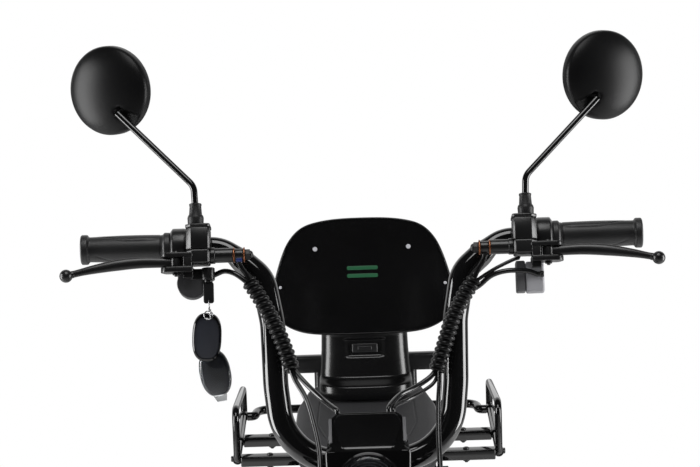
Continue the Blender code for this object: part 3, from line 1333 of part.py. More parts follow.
def build():
    """Builds every piece."""
    clear_scene()
    look = materials()
    axes = make_body_axes()
    steer = axes["steering"]
    finish(frame_main(), "frame", look["gloss"])
    finish(subframe(), "subframe", look["gloss"])
    finish(battery_case(), "battery_case", look["satin"])
    finish(carrier(), "carrier", look["gloss"])
    finish(seat_base(), "seat_base", look["satin"])
    finish(seat_cushion(), "seat_cushion", look["vinyl"])
    finish(backrest_column(), "backrest_column", look["gloss"])
    finish(backrest_panel(), "backrest_panel", look["gloss"])
    finish(grab_bar(), "grab_bar", look["satin"])
    finish(rear_fender(), "rear_fender", look["gloss"])
    finish(tail_lamp(), "tail_lamp", look["red"])
    finish(swingarm(), "swingarm", look["gloss"])
    finish(chain(), "chain", look["steel"])
    finish(rear_caliper(), "rear_caliper", look["alloy"])
    finish(front_wheel(), "front_wheel", look["alloy"], axes["front_wheel"])
    finish(tyre(), "front_tyre", look["tyre"], axes["front_wheel"])
    finish(brake_disc(FRONT_DISC_X, 0.0185), "front_disc", look["steel"], axes["front_wheel"])
    finish(rear_wheel(), "rear_wheel", look["alloy"], axes["rear_wheel"])
    finish(tyre(), "rear_tyre", look["tyre"], axes["rear_wheel"])
    finish(brake_disc(REAR_DISC_X, 0.0178), "rear_disc", look["steel"], axes["rear_wheel"])
    finish(crank(), "crank", look["alloy"], axes["crank"])
    finish(pedal(1), "pedal_left", look["satin"], axes["pedal_left"])
    finish(pedal(-1), "pedal_right", look["satin"], axes["pedal_right"])
    finish(centre_stand(), "centre_stand", look["gloss"], axes["stand"])
    finish(fork_uppers(), "fork_uppers", look["gloss"], steer)
    finish(fork_lowers(), "fork_lowers", look["alloy"], steer)
    finish(front_fender(), "front_fender", look["gloss"], steer)
    finish(front_caliper(), "front_caliper", look["alloy"], steer)
    finish(headlight_housing(), "headlight_housing", look["gloss"], steer)
    finish(headlight_lens(), "headlight_lens", look["glass"], steer)
    finish(handlebar(), "handlebar", look["gloss"], steer)
    finish(throttle_housing(), "throttle_housing", look["satin"], steer)
    finish(switch_housing(), "switch_housing", look["satin"], steer)
    finish(cables_left(), "cables_left", look["rubber"], steer)
    finish(cables_right(), "cables_right", look["rubber"], steer)
    finish(key(), "key", look["steel"], steer)
    finish(key_fobs(), "key_fobs", look["satin"], steer)
    for side, word in ((1, "left"), (-1, "right")):
        finish(side_guard(side), f"guard_{word}", look["gloss"])
        finish(shock(side), f"shock_{word}", look["steel"])
        finish(grip(side), f"grip_{word}", look["rubber"], steer)
        finish(brake_master(side), f"brake_master_{word}", look["satin"], steer)
        finish(brake_lever(side), f"brake_lever_{word}", look["satin"], steer)
        finish(mirror_stem(side), f"mirror_stem_{word}", look["satin"], steer)
        finish(mirror_head(side), f"mirror_head_{word}", look["satin"], steer)


build()
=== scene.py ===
"""Looks of the moped-style electric bicycle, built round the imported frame.

Every new surface is worked out with numpy: a section carried along a path, a profile turned round
an axis, or an outline given a thickness. Shapes are drawn in millimetres, and piece() turns them
into metres. A place on the steering is written (side, behind, up) in the frame that leans back with
the fork, and the bicycle faces -Y.
"""

import json
import math
from math import radians

import bmesh
import bpy
import numpy as np
from mathutils import Matrix, Vector


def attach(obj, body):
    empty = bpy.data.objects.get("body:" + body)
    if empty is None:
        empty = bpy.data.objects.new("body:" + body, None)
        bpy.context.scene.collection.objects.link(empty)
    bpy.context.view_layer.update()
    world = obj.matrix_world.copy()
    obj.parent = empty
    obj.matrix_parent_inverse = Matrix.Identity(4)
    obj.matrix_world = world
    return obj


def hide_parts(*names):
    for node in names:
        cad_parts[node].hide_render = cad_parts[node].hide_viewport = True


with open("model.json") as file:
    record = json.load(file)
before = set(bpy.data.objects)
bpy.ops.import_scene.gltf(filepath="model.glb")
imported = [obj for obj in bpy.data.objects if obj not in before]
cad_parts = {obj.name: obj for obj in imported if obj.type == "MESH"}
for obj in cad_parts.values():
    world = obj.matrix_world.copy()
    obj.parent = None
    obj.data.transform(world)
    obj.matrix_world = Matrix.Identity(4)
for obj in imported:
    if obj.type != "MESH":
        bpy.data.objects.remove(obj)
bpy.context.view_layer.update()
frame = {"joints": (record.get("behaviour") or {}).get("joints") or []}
MM = 0.001
PLACES = {joint["name"]: Vector(joint["pos_m"]) / MM for joint in frame["joints"]}
AXES = {joint["name"]: Vector(joint["axis"]) for joint in frame["joints"]}

# Steering frame, worked out from its joint
JOINT_DROP = 110
STEER_AXIS = AXES["steering_turn"]
RAKE = math.atan2(STEER_AXIS.y, STEER_AXIS.z)
STEER = Matrix.Translation(PLACES["steering_turn"] + STEER_AXIS * JOINT_DROP) @ Matrix.Rotation(-RAKE, 4, "X")
FRONT_AXLE = PLACES["front_wheel_roll"]
REAR_AXLE = PLACES["rear_wheel_roll"]
CRANK_AXLE = PLACES["crank_turn"]

# Camera
PHOTO_W = 700
PHOTO_H = 467
CAMERA_DROP = radians(12.0)
CAMERA_ROLL = radians(1.8)
CAMERA_DISTANCE = 3.0
FOCAL_PX = 2500.0
SENSOR = 36.0
GRIP_LEVEL = 279
GRIP_PIXEL = (361.5, 243.0)

# Handlebar and controls
BAR_R = 15
BAR_END_R = 11
BAR_UP = 281
BAR_END = 332.5
BAR_HALF = [(BAR_END, BAR_UP), (166, BAR_UP), (119, 240), (109, 185), (107, 110), (97, 18.5)]
BAR_BENDS = [40, 40, 80, 150, 70]
GRIP_START = 230
GRIP_END = 337
BANJO = (145.7, -30, 264)
LEVER_PIN = (220.5, -36, 256)
MIRROR_STEM = (196.5, -30)
MIRROR_ROOT = (288.5, -26, 442)
BLOCK_TOP = 302
COVER = (-203, -22.5, 233)
KEY = (-183, -26.2, 212)

# Cables: the routes of the part's source
WRAP_BEHIND = -25.3
HOSE_R = 3.1
CABLE_R = 2.2
LAMP_BACK = -68
LAMP_TOP = 66.5

# Fork, wheels and drive
CALIPER_LEAN = radians(38)
FORK_OFFSET = 42
FORK_LENGTH = 654
LOWER_R = 21.5
DISC_R = 80
CALIPER_SEAT = (
    (DISC_R - 4) * math.sin(CALIPER_LEAN) - FORK_OFFSET, (DISC_R - 4) * math.cos(CALIPER_LEAN) - FORK_LENGTH,
)
WHEEL_R = 229
SPOKES = 5
RING_R = 73
SPROCKET_R = 35
CHAIN_X = 50
CHAIN_PITCH = 12.7
CRANK_R = 150
SIDES = (("left", 1), ("right", -1))


# ---- shapes -------------------------------------------------------------------------------


def angles(count):
    """Evenly spaced angles round a circle."""
    return np.linspace(0, 2 * np.pi, count, endpoint=False)


def signed(values, power):
    """Values raised to a power with their signs kept."""
    return np.sign(values) * np.abs(values) ** power


def ramp(value, at, soft):
    """A smooth step from 0 to 1."""
    return 1 / (1 + np.exp(-(value - at) / soft))


def ring_of(radius, angle, height):
    """The points of a ring at one height."""
    return np.column_stack([radius * np.cos(angle), radius * np.sin(angle), np.full(len(angle), height)])


def level(flat, height):
    """Flat points lifted to a height."""
    return np.column_stack([flat, np.full(len(flat), height)])


def both_sides(half):
    """Points of the +X side, then their mirror images from last to first."""
    return half + [(-x, *rest) for x, *rest in reversed(half)]


def move(x, y=0.0, z=0.0):
    """A shift as a matrix."""
    return Matrix.Translation((x, y, z))


def turn(axis, degrees):
    """A turn about one axis as a matrix."""
    return Matrix.Rotation(radians(degrees), 4, axis)


def grid_faces(rows, cols, wrap_rows=False):
    """Quads between neighbouring points of a rows by cols grid whose columns close."""
    r = np.arange(rows if wrap_rows else rows - 1)[:, None]
    c = np.arange(cols)[None, :]
    below, beside = (r + 1) % rows, (c + 1) % cols
    quads = np.stack([r * cols + c, r * cols + beside, below * cols + beside, below * cols + c], axis=-1)
    return quads.reshape(-1, 4).tolist()


def shell(points, capped=True, ring=False):
    """A surface from a grid of points: its columns close, and its rows end in caps or close as a ring."""
    rows, cols = points.shape[:2]
    faces = grid_faces(rows, cols, wrap_rows=ring)
    if capped and not ring:
        faces += [list(range(cols)), list(range((rows - 1) * cols, rows * cols))]
    return points.reshape(-1, 3), faces


def together(*shells):
    """Several shells as one."""
    points, faces, start = [], [], 0
    for verts, quads in shells:
        points.append(verts)
        faces += [[i + start for i in face] for face in quads]
        start += len(verts)
    return np.vstack(points), faces


def placed(made, *matrices):
    """A shell moved by the product of the matrices."""
    verts, faces = made
    for matrix in reversed(matrices):
        m = np.array(matrix)
        verts = verts @ m[:3, :3].T + m[:3, 3]
    return verts, faces


def mirrored(made, side=-1):
    """A shell seen in the bicycle's middle plane; as it was if side is 1."""
    verts, faces = made
    return verts * np.array([side, 1.0, 1.0]), faces


def unit(vectors):
    """Vectors of length one."""
    return vectors / np.maximum(np.linalg.norm(vectors, axis=-1, keepdims=True), 1e-12)


def carried(path, radius, sides=20, ref=(0, 1, 0), flat=1.0, power=2.0):
    """A section carried along a path: centre + r (cos a side + flat sin a up), with side = tangent x ref.

    A power above 2 squares the circle: cos and sin are raised to 2 / power, their signs kept.
    """
    path = np.asarray(path, float)
    tangent = unit(np.gradient(path, axis=0))
    side = unit(np.cross(tangent, np.asarray(ref, float)))
    up = np.cross(side, tangent)
    c, s = signed(np.cos(angles(sides)), 2 / power), signed(np.sin(angles(sides)), 2 / power)
    r = np.broadcast_to(np.asarray(radius, float).reshape(len(np.atleast_1d(radius)), -1), (len(path), sides))
    section = c[None, :, None] * side[:, None, :] + flat * s[None, :, None] * up[:, None, :]
    return shell(path[:, None, :] + r[..., None] * section)


def looped(path, radius, sides=14, ref=(0, 0, 1)):
    """A wire along a closed path: its section stands square to the path, and its ends meet."""
    path = np.asarray(path, float)
    tangent = unit(np.roll(path, -1, axis=0) - np.roll(path, 1, axis=0))
    side = unit(np.cross(tangent, np.asarray(ref, float)))
    up = np.cross(side, tangent)
    a = angles(sides)[None, :, None]
    return shell(path[:, None] + radius * (np.cos(a) * side[:, None] + np.sin(a) * up[:, None]), ring=True)


def bent(corners, radii, degrees=4):
    """Straight runs whose inner corners become arcs: each arc turns its first radius about its own axis."""
    points = [Vector(c) for c in corners]
    route = [np.array([points[0]])]
    radii = np.broadcast_to(radii, len(points) - 2).tolist()
    for before, corner, after, radius in zip(points, points[1:], points[2:], radii):
        u, v = (before - corner).normalized(), (after - corner).normalized()
        half = u.angle(v) / 2
        if radius <= 0 or half > math.pi / 2 - 0.01:
            route.append(np.array([corner]))
            continue
        centre = corner + (u + v).normalized() * (radius / math.sin(half))
        first = corner + u * (radius / math.tan(half)) - centre
        axis = u.cross(first).normalized()
        swept = math.pi - 2 * half
        t = np.linspace(0, swept, max(3, math.ceil(swept / radians(degrees))))[:, None]
        f, w = np.array(first)[None], np.array(axis.cross(first))[None]
        route.append(np.array(centre) + np.cos(t) * f + np.sin(t) * w)
    route.append(np.array([points[-1]]))
    return np.vstack(route)


def curve(points, steps=8):
    """A smooth curve through points: each stretch is a cubic, its slopes half the chord of its neighbours."""
    p = np.asarray(points, float)
    p = np.vstack([2 * p[0] - p[1], p, 2 * p[-1] - p[-2]])
    t = np.linspace(0, 1, steps, endpoint=False)[None, :, None]
    a, b, c, d = p[:-3, None], p[1:-2, None], p[2:-1, None], p[3:, None]
    q = (2 * b + (c - a) * t + (2 * a - 5 * b + 4 * c - d) * t**2 + (3 * b - a - 3 * c + d) * t**3) / 2
    return np.vstack([q.reshape(-1, 3), p[-2:-1]])


def lengths_along(path):
    """The distance from a path's start to each of its points."""
    return np.concatenate([[0], np.cumsum(np.linalg.norm(np.diff(path, axis=0), axis=1))])


def resampled(path, count):
    """A path with evenly spaced points."""
    path = np.asarray(path, float)
    length = lengths_along(path)
    at = np.linspace(0, length[-1], count)
    return np.stack([np.interp(at, length, path[:, k]) for k in range(3)], axis=1)


def turned(profile, steps=48, hollow=False):
    """A profile of (radius, height) turned round the upright axis: x = r cos a, y = r sin a, z = height."""
    return shell(np.stack([ring_of(r, angles(steps), h) for r, h in profile]), capped=False, ring=hollow)


def rounded(profile, radii):
    """A profile of straight runs with its inner corners rounded."""
    return bent([(r, h, 0) for r, h in profile], radii, 15)[:, :2]


def turned_ring(profile, radii, steps):
    """A rounded profile turned into a ring."""
    return turned(rounded(profile, radii), steps, hollow=True)


def bush(inner, outer, low, high, edge, steps):
    """A ring with its outer rims rounded."""
    return turned_ring([(inner, low), (outer, low), (outer, high), (inner, high)], edge, steps)


def outline_of(corners, radii, degrees=8):
    """A closed outline whose corners are arcs."""
    count = len(corners)
    radii = np.broadcast_to(radii, count).tolist()
    pieces = []
    for i in range(count):
        run = [(*corners[i - 1], 0), (*corners[i], 0), (*corners[(i + 1) % count], 0)]
        pieces.append(bent(run, radii[i], degrees)[1:-1, :2])
    return np.vstack(pieces)


def mirrored_outline(half, radii, degrees=8):
    """An outline from the corners on its +X side."""
    return outline_of(both_sides(half), radii + radii[::-1], degrees)


def rectangle(x0, y0, x1, y1, radius, degrees=8):
    """An outline with four rounded corners."""
    return outline_of([(x0, y0), (x1, y0), (x1, y1), (x0, y1)], radius, degrees)


def inset_of(outline, distance):
    """An outline moved inwards along its normals."""
    ahead, behind = np.roll(outline, -1, axis=0), np.roll(outline, 1, axis=0)
    along = unit(ahead - behind)
    normal = np.stack([-along[:, 1], along[:, 0]], axis=1)
    area = np.sum(outline[:, 0] * ahead[:, 1] - ahead[:, 0] * outline[:, 1])
    return outline + normal * distance * np.sign(area)


def slab(outline, low, high, edge=1.0, crown=0.0, steps=5, rings=8, under_edge=None):
    """An outline given a thickness along Z.

    Its rims are quarter circles of radius edge, and its top rises by crown (1 - f squared), where f
    shrinks the outline towards its middle from 1 to 0.
    """
    outline = np.asarray(outline, float)
    under = edge if under_edge is None else under_edge
    sweep = np.linspace(0, np.pi / 2, steps)
    points = [
        level(
            inset_of(outline, under * (1 - math.cos(t))), low + under * (1 - math.sin(t)),
        ) for t in sweep[::-1]
    ]
    points += [
        level(inset_of(outline, edge * (1 - math.cos(t))), high - edge * (1 - math.sin(t))) for t in sweep
    ]
    if not crown:
        return shell(np.stack(points))
    top = inset_of(outline, edge)
    middle = top.mean(axis=0)
    points += [
        level(
            middle + (top - middle) * f, high + crown * (1 - f * f),
        ) for f in np.linspace(1, 0, rings + 1)[1:]
    ]
    verts, faces = shell(np.stack(points), capped=False)
    return verts, faces + [list(range(len(outline)))]


def box(low, high, corner=2.0, edge=1.0):
    """A box whose upright corners and rims are rounded."""
    (x0, y0, z0), (x1, y1, z1) = low, high
    return slab(rectangle(x0, y0, x1, y1, corner, 22), z0, z1, edge, steps=4)


def facing(direction):
    """A turn that takes +Z to a direction."""
    return Vector(direction).to_track_quat("Z", "Y").to_matrix().to_4x4()


def rod(start, end, radius, sides=24, edge=0.6):
    """A round rod between two points with its rims rounded."""
    start, end = Vector(start), Vector(end)
    length = (end - start).length
    profile = rounded([(0, 0), (radius, 0), (radius, length), (0, length)], edge)
    return placed(turned(profile, sides), Matrix.Translation(start) @ facing(end - start))


def crossbar(reach, y, z, radius, sides=24, edge=0.6):
    """A rod across the bicycle, as far to the left as to the right."""
    return rod((-reach, y, z), (reach, y, z), radius, sides, edge)


def ball(centre, radius, steps=20, stretch=(1, 1, 1)):
    """A ball: radius r sin b at height -r cos b, turned round."""
    b = np.linspace(0, np.pi, steps)
    verts, faces = turned(np.column_stack([radius * np.sin(b), -radius * np.cos(b)]), steps * 2)
    return verts * np.array(stretch) + np.array(centre), faces


def torus(centre, ring_r, wire_r, axis):
    """A wire ring round an axis, X or Y."""
    t = angles(12)
    made = turned(np.column_stack([ring_r + wire_r * np.cos(t), wire_r * np.sin(t)]), 48, hollow=True)
    return placed(made, move(*centre) @ turn("Y" if axis == "X" else "X", 90))


def screw(place, direction, radius=4.0, height=2.5):
    """A domed screw head with a sunk hexagon: rings go in, drop by half the height and close."""
    a = angles(24)
    hexed = radius * 0.5 / np.maximum(np.cos((a + np.pi / 6) % (np.pi / 3) - np.pi / 6), 0.5)
    rings = [
        (radius, 0), (radius, 0.5), (radius * 0.85, 0.9), (radius * 0.65, 1), (hexed, 1), (hexed, 0.35),
        (0, 0.35),
    ]
    verts, faces = shell(np.stack([ring_of(r, a, height * h) for r, h in rings]), capped=False)
    return placed((verts, faces + [list(range(24))]), move(*place) @ facing(direction))


def nut(place, direction, across, height):
    """A six-sided head with chamfered rims and a round stud end."""
    stud = turned(
        rounded([(0, 0), (across * 0.5, 0), (across * 0.5, height * 1.5), (0, height * 1.5)], [0, 0.5]), 16,
    )
    made = together(slab(ring_of(across, angles(6), 0)[:, :2], 0, height, 0.6, steps=3), stud)
    return placed(made, move(*place) @ facing(direction))


def along_x(made, place=(0, 0, 0)):
    """A shape turned round Z, laid along X at a place."""
    return placed(made, move(*place) @ turn("Y", 90))


def sideways(made):
    """A slab drawn in (behind, up) with its thickness across the bicycle."""
    verts, faces = made
    return verts[:, [2, 0, 1]], faces


def frontal(made, behind=0.0):
    """A slab drawn in (side, up) whose top faces forwards."""
    verts, faces = made
    return np.stack([verts[:, 0], behind - verts[:, 2], verts[:, 1]], axis=1), faces


def strap(first, first_r, last, last_r, count=20):
    """The outline round two circles, as their two arcs joined by tangents."""
    a, b = np.asarray(first, float), np.asarray(last, float)
    gap = b - a
    heading = math.atan2(gap[1], gap[0])
    lean = math.acos(np.clip((first_r - last_r) / np.linalg.norm(gap), -1, 1))
    near = np.linspace(heading + lean, heading + 2 * np.pi - lean, count)
    far = np.linspace(heading - lean, heading + lean, count)
    return np.vstack([a + ring_of(first_r, near, 0)[:, :2], b + ring_of(last_r, far, 0)[:, :2]])


def softened(values, width):
    """Values along a fine grid with their corners smoothed over a width."""
    kernel = np.hanning(width + 2)[1:-1]
    return np.convolve(np.pad(values, width // 2, "edge"), kernel / kernel.sum(), "valid")[: len(values)]


def shown(name, data):
    """A new object in the scene."""
    made = bpy.data.objects.new(name, data)
    bpy.context.scene.collection.objects.link(made)
    return made


def piece(name, made, finish, body, *nodes, slot=None, smooth=35, place=None):
    """A finished object on its body: doubles merged, faces turned outwards, shaded smooth up to an angle."""
    verts, faces = made if place is None else placed(made, place)
    mesh = bpy.data.meshes.new(name)
    mesh.from_pydata((verts * MM).tolist(), [], faces)
    bm = bmesh.new()
    bm.from_mesh(mesh)
    bmesh.ops.remove_doubles(bm, verts=bm.verts[:], dist=2e-6)
    bmesh.ops.dissolve_degenerate(bm, edges=bm.edges[:], dist=1e-7)
    bmesh.ops.recalc_face_normals(bm, faces=bm.faces[:])
    bm.to_mesh(mesh)
    bm.free()
    mesh.shade_smooth()
    mesh.set_sharp_from_angle(angle=radians(smooth))
    mesh.materials.append(finish)
    made_object = shown(name, mesh)
    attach(made_object, body)
    if nodes:
        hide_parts(*nodes)
    return made_object


def steered(name, made, finish, *nodes, **options):
    """A piece drawn in the steering's leaning frame."""
    return piece(name, made, finish, "steering", *nodes, **{"place": STEER, **options})


def framed(name, made, finish, *nodes, **options):
    """A piece of the frame's body."""
    return piece(name, made, finish, "frame", *nodes, **options)


def both(name, made, finish, *nodes, **options):
    """One shape on the steering's left and its mirror image on the right."""
    for word, side in SIDES:
        names = [f"{node}_{word}" for node in nodes]
        steered(f"{name}_{word}", mirrored(made, side), finish, *names, **options)


# ---- materials ----------------------------------------------------------------------------


def add(tree, kind, links=None, out=0, **values):
    """The output of a new node with its values, joined to the sockets given."""
    node = tree.nodes.new("ShaderNode" + kind)
    for key, value in values.items():
        setattr(node, key, value)
    for socket, source in (links or {}).items():
        if hasattr(source, "is_output"):
            tree.links.new(source, node.inputs[socket])
        else:
            node.inputs[socket].default_value = source
    return node.outputs[out]


def calc(tree, operation, first, second, **values):
    """The result of one sum."""
    return add(tree, "Math", {0: first, 1: second}, operation=operation, **values)


def mapped(tree, value, low, high, to_low=0.0, to_high=1.0):
    """A value's range brought to another range."""
    return add(
        tree, "MapRange",
        {"Value": value, "From Min": low, "From Max": high, "To Min": to_low, "To Max": to_high},
    )


def noise(tree, place, scale, detail, out=0, **links):
    """Smooth noise read at a place."""
    return add(tree, "TexNoise", {"Vector": place, "Scale": scale, "Detail": detail, **links}, out)


def scaled(tree, vector, factor):
    """A vector or colour times a factor."""
    return add(tree, "VectorMath", {0: vector, "Scale": factor}, operation="SCALE")


def new_group(name, inputs):
    """A shader node group: inputs with their first values, and colour, roughness and normal as outputs."""
    group = bpy.data.node_groups.new(name, "ShaderNodeTree")
    kinds = {1: "Float", 3: "Vector", 4: "Color"}
    sockets = [(label, "INPUT", kinds[np.size(value)]) for label, value in inputs.items()]
    sockets += [
        ("Color", "OUTPUT", "Color"), ("Roughness", "OUTPUT", "Float"), ("Normal", "OUTPUT", "Vector"),
    ]
    for label, side, kind in sockets:
        socket = group.interface.new_socket(label, in_out=side, socket_type="NodeSocket" + kind)
        if side == "INPUT":
            socket.default_value = inputs[label]
    return group, group.nodes.new("NodeGroupInput").outputs, add(group, "TexCoord", out="Object")


def close_group(group, color, rough, height, depth, distance=0.0004):
    """Joins colour, roughness and a bump of the height to the group's outputs."""
    leave = group.nodes.new("NodeGroupOutput").inputs
    bump = add(group, "Bump", {"Strength": depth, "Distance": distance, "Height": height})
    for label, source in (("Color", color), ("Roughness", rough), ("Normal", bump)):
        group.links.new(source, leave[label])
    return group


def surface_group():
    """Moulded or painted surface: fine grain as bump, broad drift in colour and roughness, faint dust."""
    group, entry, place = new_group("surface_detail", {
        "Color": (
            0.02, 0.02, 0.02, 1,
        ), "Drift": 0.15, "Grain Scale": 900.0, "Grain Depth": 0.1, "Roughness": 0.4,
        "Spread": 0.08, "Dust": 0.02})
    fine = noise(group, place, entry["Grain Scale"], 3.0)
    broad = noise(group, place, 14.0, 4.0, Roughness=0.6)
    upward = add(group, "SeparateXYZ", {"Vector": add(group, "NewGeometry", out="Normal")}, "Z")
    specks = mapped(group, noise(group, place, 260.0, 2.0), 0.50, 0.75)
    dust = calc(group, "MULTIPLY", specks, mapped(group, upward, 0.2, 1.0))
    dusty = calc(group, "MULTIPLY", dust, entry["Dust"])
    low, high = (calc(group, sign, 1.0, entry["Drift"]) for sign in ("SUBTRACT", "ADD"))
    tinted = scaled(group, entry["Color"], mapped(group, broad, 0.3, 0.7, low, high))
    blend = add(group, "Mix", {0: dusty, 6: tinted, 7: (0.42, 0.40, 0.37, 1)}, 2, data_type="RGBA")
    spread = calc(group, "MULTIPLY", calc(group, "SUBTRACT", broad, 0.5), entry["Spread"])
    rough = calc(group, "ADD", entry["Roughness"], spread, use_clamp=True)
    return close_group(group, blend, rough, fine, entry["Grain Depth"])


def leather_group():
    """Embossed vinyl: cell walls of two sizes as bump, and painted shade that darkens the colour in the
    creases.
    """
    group, entry, place = new_group("embossed_vinyl", {
        "Color": (0.05, 0.05, 0.05, 1), "Cells": 700.0, "Depth": 0.4, "Roughness": 0.55})
    shift = scaled(group, noise(group, place, 120.0, 2.0, "Color"), 0.0016)
    moved = add(group, "VectorMath", {0: place, 1: shift}, operation="ADD")
    cells = add(
        group, "TexVoronoi", {"Vector": moved, "Scale": entry["Cells"]}, "Distance",
        feature="DISTANCE_TO_EDGE",
    )
    walls = mapped(group, cells, 0.0, 0.18)
    broad = noise(group, place, 9.0, 3.0)
    # Painted shade: the colour falls to 0.62 at the cell edges, in the creases, and also drifts at random
    # with the broad noise.
    factor = calc(
        group, "MULTIPLY", mapped(group, walls, 0, 1, 0.62, 1.06), mapped(group, broad, 0, 1, 0.86, 1.14),
    )
    rough = calc(group, "ADD", entry["Roughness"], calc(group, "MULTIPLY", broad, 0.12))
    return close_group(group, scaled(group, entry["Color"], factor), rough, walls, entry["Depth"])


def brushed_group():
    """Metal brushed in circles round an axle: noise read by radius, so that the lines run round."""
    group, entry, place = new_group("brushed_round", {
        "Color": (0.6, 0.6, 0.6, 1), "Centre": (0.0, 0.0, 0.0), "Roughness": 0.28})
    local = add(group, "VectorMath", {0: place, 1: entry["Centre"]}, operation="SUBTRACT")
    flat = add(group, "VectorMath", {0: local, 1: (0.0, 1.0, 1.0)}, operation="MULTIPLY")
    radius = add(group, "VectorMath", {0: flat}, "Value", operation="LENGTH")
    lines = noise(group, add(group, "CombineXYZ", {"X": radius}), 3200.0, 2.0)
    blotch = calc(group, "MULTIPLY", noise(group, place, 60.0, 3.0), 0.16)
    rough = calc(group, "ADD", entry["Roughness"], blotch)
    tinted = scaled(group, entry["Color"], mapped(group, lines, 0, 1, 0.82, 1.10))
    return close_group(group, tinted, rough, lines, 0.12, 0.0002)


SURFACE, LEATHER, BRUSHED = surface_group(), leather_group(), brushed_group()


def finish_of(name, slot, group, values, metallic=0.0, **sockets):
    """A Principled material fed by one of the shared groups; fixed values sit on the shader's own sockets."""
    color = values["Color"]
    color = (color, color, color * 1.06) if np.isscalar(color) else color
    made = bpy.data.materials.new(name)
    made.use_nodes = True
    tree = made.node_tree
    shader = tree.nodes["Principled BSDF"]
    detail = tree.nodes.new("ShaderNodeGroup")
    detail.node_tree = group
    for key, value in {**values, "Color": (*color, 1.0)}.items():
        detail.inputs[key].default_value = value
    for output, socket in (("Color", "Base Color"), ("Roughness", "Roughness"), ("Normal", "Normal")):
        tree.links.new(detail.outputs[output], shader.inputs[socket])
    for key, value in {"Metallic": metallic, **sockets}.items():
        shader.inputs[key.replace("_", " ")].default_value = value
    made.diffuse_color = (*color, 1.0)
    return made


def surface(name, slot, color, drift, scale, depth, rough, spread, dust, metallic=0.0, **sockets):
    """A moulded, painted or metal finish; a single colour value is a neutral grey."""
    values = {"Color": color, "Drift": drift, "Grain Scale": scale, "Grain Depth": depth, "Roughness": rough,
              "Spread": spread, "Dust": dust}
    return finish_of(name, slot, SURFACE, values, metallic, **sockets)


GLOSS = surface("gloss_black_paint", "gloss_black", 0.0035, 0.2, 260, 0.012, 0.07, 0.05, 0.006, IOR=1.6)
PANEL = surface("gloss_black_moulding", "gloss_black", 0.0024, 0.15, 120, 0.008, 0.1, 0.05, 0.004, IOR=1.5)
MATT = surface(
    "matt_black_moulding", "satin_black_plastic", 0.0085, 0.15, 1500, 0.22, 0.46, 0.1, 0.012,
    Specular_IOR_Level=0.32,
)
MIRROR_BACK = surface(
    "mirror_back_moulding", "satin_black_plastic", 0.004, 0.15, 1500, 0.14, 0.33, 0.08, 0.006,
    Specular_IOR_Level=0.15,
)
SATIN = surface("satin_black_moulding", "satin_black_plastic", 0.0065, 0.2, 1100, 0.1, 0.3, 0.1, 0.01)
RUBBER = surface("grip_rubber", "grip_rubber", 0.009, 0.2, 1800, 0.18, 0.44, 0.12, 0.02)
HOSE = surface("hose_rubber", "hose_rubber", 0.005, 0.2, 900, 0.05, 0.2, 0.1, 0.008, IOR=1.5)
WRAP = surface(
    "wrap_plastic", "hose_rubber", 0.0035, 0.2, 700, 0.04, 0.3, 0.08, 0.004, Specular_IOR_Level=0.22,
)
COLUMN = surface("column_moulding", "gloss_black", 0.0028, 0.15, 700, 0.03, 0.22, 0.06, 0.005, IOR=1.5)
BROW = surface("brow_moulding", "gloss_black", 0.0035, 0.15, 120, 0.006, 0.08, 0.04, 0.002, IOR=1.5)
AMBER_LIGHT = surface("light_block", "clear_lens", (0.62, 0.6, 0.42), 0.1, 600, 0.1, 0.3, 0.05, 0)
TYRE = surface("tyre_rubber", "tyre_rubber", 0.016, 0.25, 800, 0.25, 0.72, 0.15, 0.05)
ALLOY = surface("black_cast_alloy", "black_alloy", 0.018, 0.25, 1300, 0.12, 0.34, 0.12, 0.02, metallic=0.55)
BRIGHT = surface(
    "bright_steel", "bright_steel", (0.62, 0.62, 0.63), 0.08, 900, 0.05, 0.22, 0.15, 0.01, metallic=1.0,
)
DARK_STEEL = surface(
    "chain_steel", "bright_steel", (0.2, 0.19, 0.18), 0.3, 700, 0.08, 0.36, 0.2, 0.02, metallic=1.0,
)
COPPER = surface(
    "copper_washer", "bright_steel", (0.3, 0.11, 0.05), 0.2, 1200, 0.08, 0.32, 0.15, 0, metallic=0.8,
)
BLUE = surface("blue_paint_mark", "satin_black_plastic", (0.01, 0.028, 0.15), 0.2, 900, 0.1, 0.4, 0.1, 0)
GREEN = surface("green_paint", "gloss_black", (0.007, 0.062, 0.024), 0.12, 900, 0.05, 0.35, 0.08, 0)
GREY_DARK = surface("dark_grey_moulding", "satin_black_plastic", 0.085, 0.12, 1500, 0.12, 0.45, 0.1, 0.01)
COVER_GREY = surface(
    "cover_moulding", "satin_black_plastic", 0.034, 0.12, 1500, 0.25, 0.5, 0.1, 0.01,
    Specular_IOR_Level=0.35,
)
GREY_LIGHT = surface("light_grey_moulding", "satin_black_plastic", 0.31, 0.1, 1500, 0.1, 0.42, 0.1, 0.01)
FOB = surface("fob_plastic", "satin_black_plastic", (0.014, 0.016, 0.024), 0.15, 1600, 0.12, 0.32, 0.12, 0.01)
RED_LENS = surface(
    "red_lens", "red_lens", (0.4, 0.012, 0.012), 0.1, 300, 0.03, 0.1, 0.05, 0.01, Coat_Weight=0.6,
)
AMBER = surface(
    "amber_reflector", "red_lens", (0.6, 0.16, 0.02), 0.1, 500, 0.3, 0.15, 0.05, 0.01, Coat_Weight=0.5,
)
MIRROR = surface(
    "mirror_glass", "satin_black_plastic", (0.86, 0.87, 0.88), 0.02, 30, 0, 0.03, 0.02, 0.01, metallic=1.0,
)
SMOKED = surface(
    "smoked_reflector", "bright_steel", (0.1, 0.1, 0.11), 0.05, 200, 0.02, 0.16, 0.04, 0, metallic=1.0,
)
CLEAR = surface(
    "clear_lens", "clear_lens", (0.93, 0.95, 0.96), 0.02, 40, 0, 0.05, 0.03, 0, Transmission_Weight=1.0,
    IOR=1.45,
)
VINYL = finish_of("grey_vinyl", "seat_vinyl", LEATHER,
                  {"Color": 0.036, "Cells": 620.0, "Depth": 0.35, "Roughness": 0.60},
                  Specular_IOR_Level=0.25)
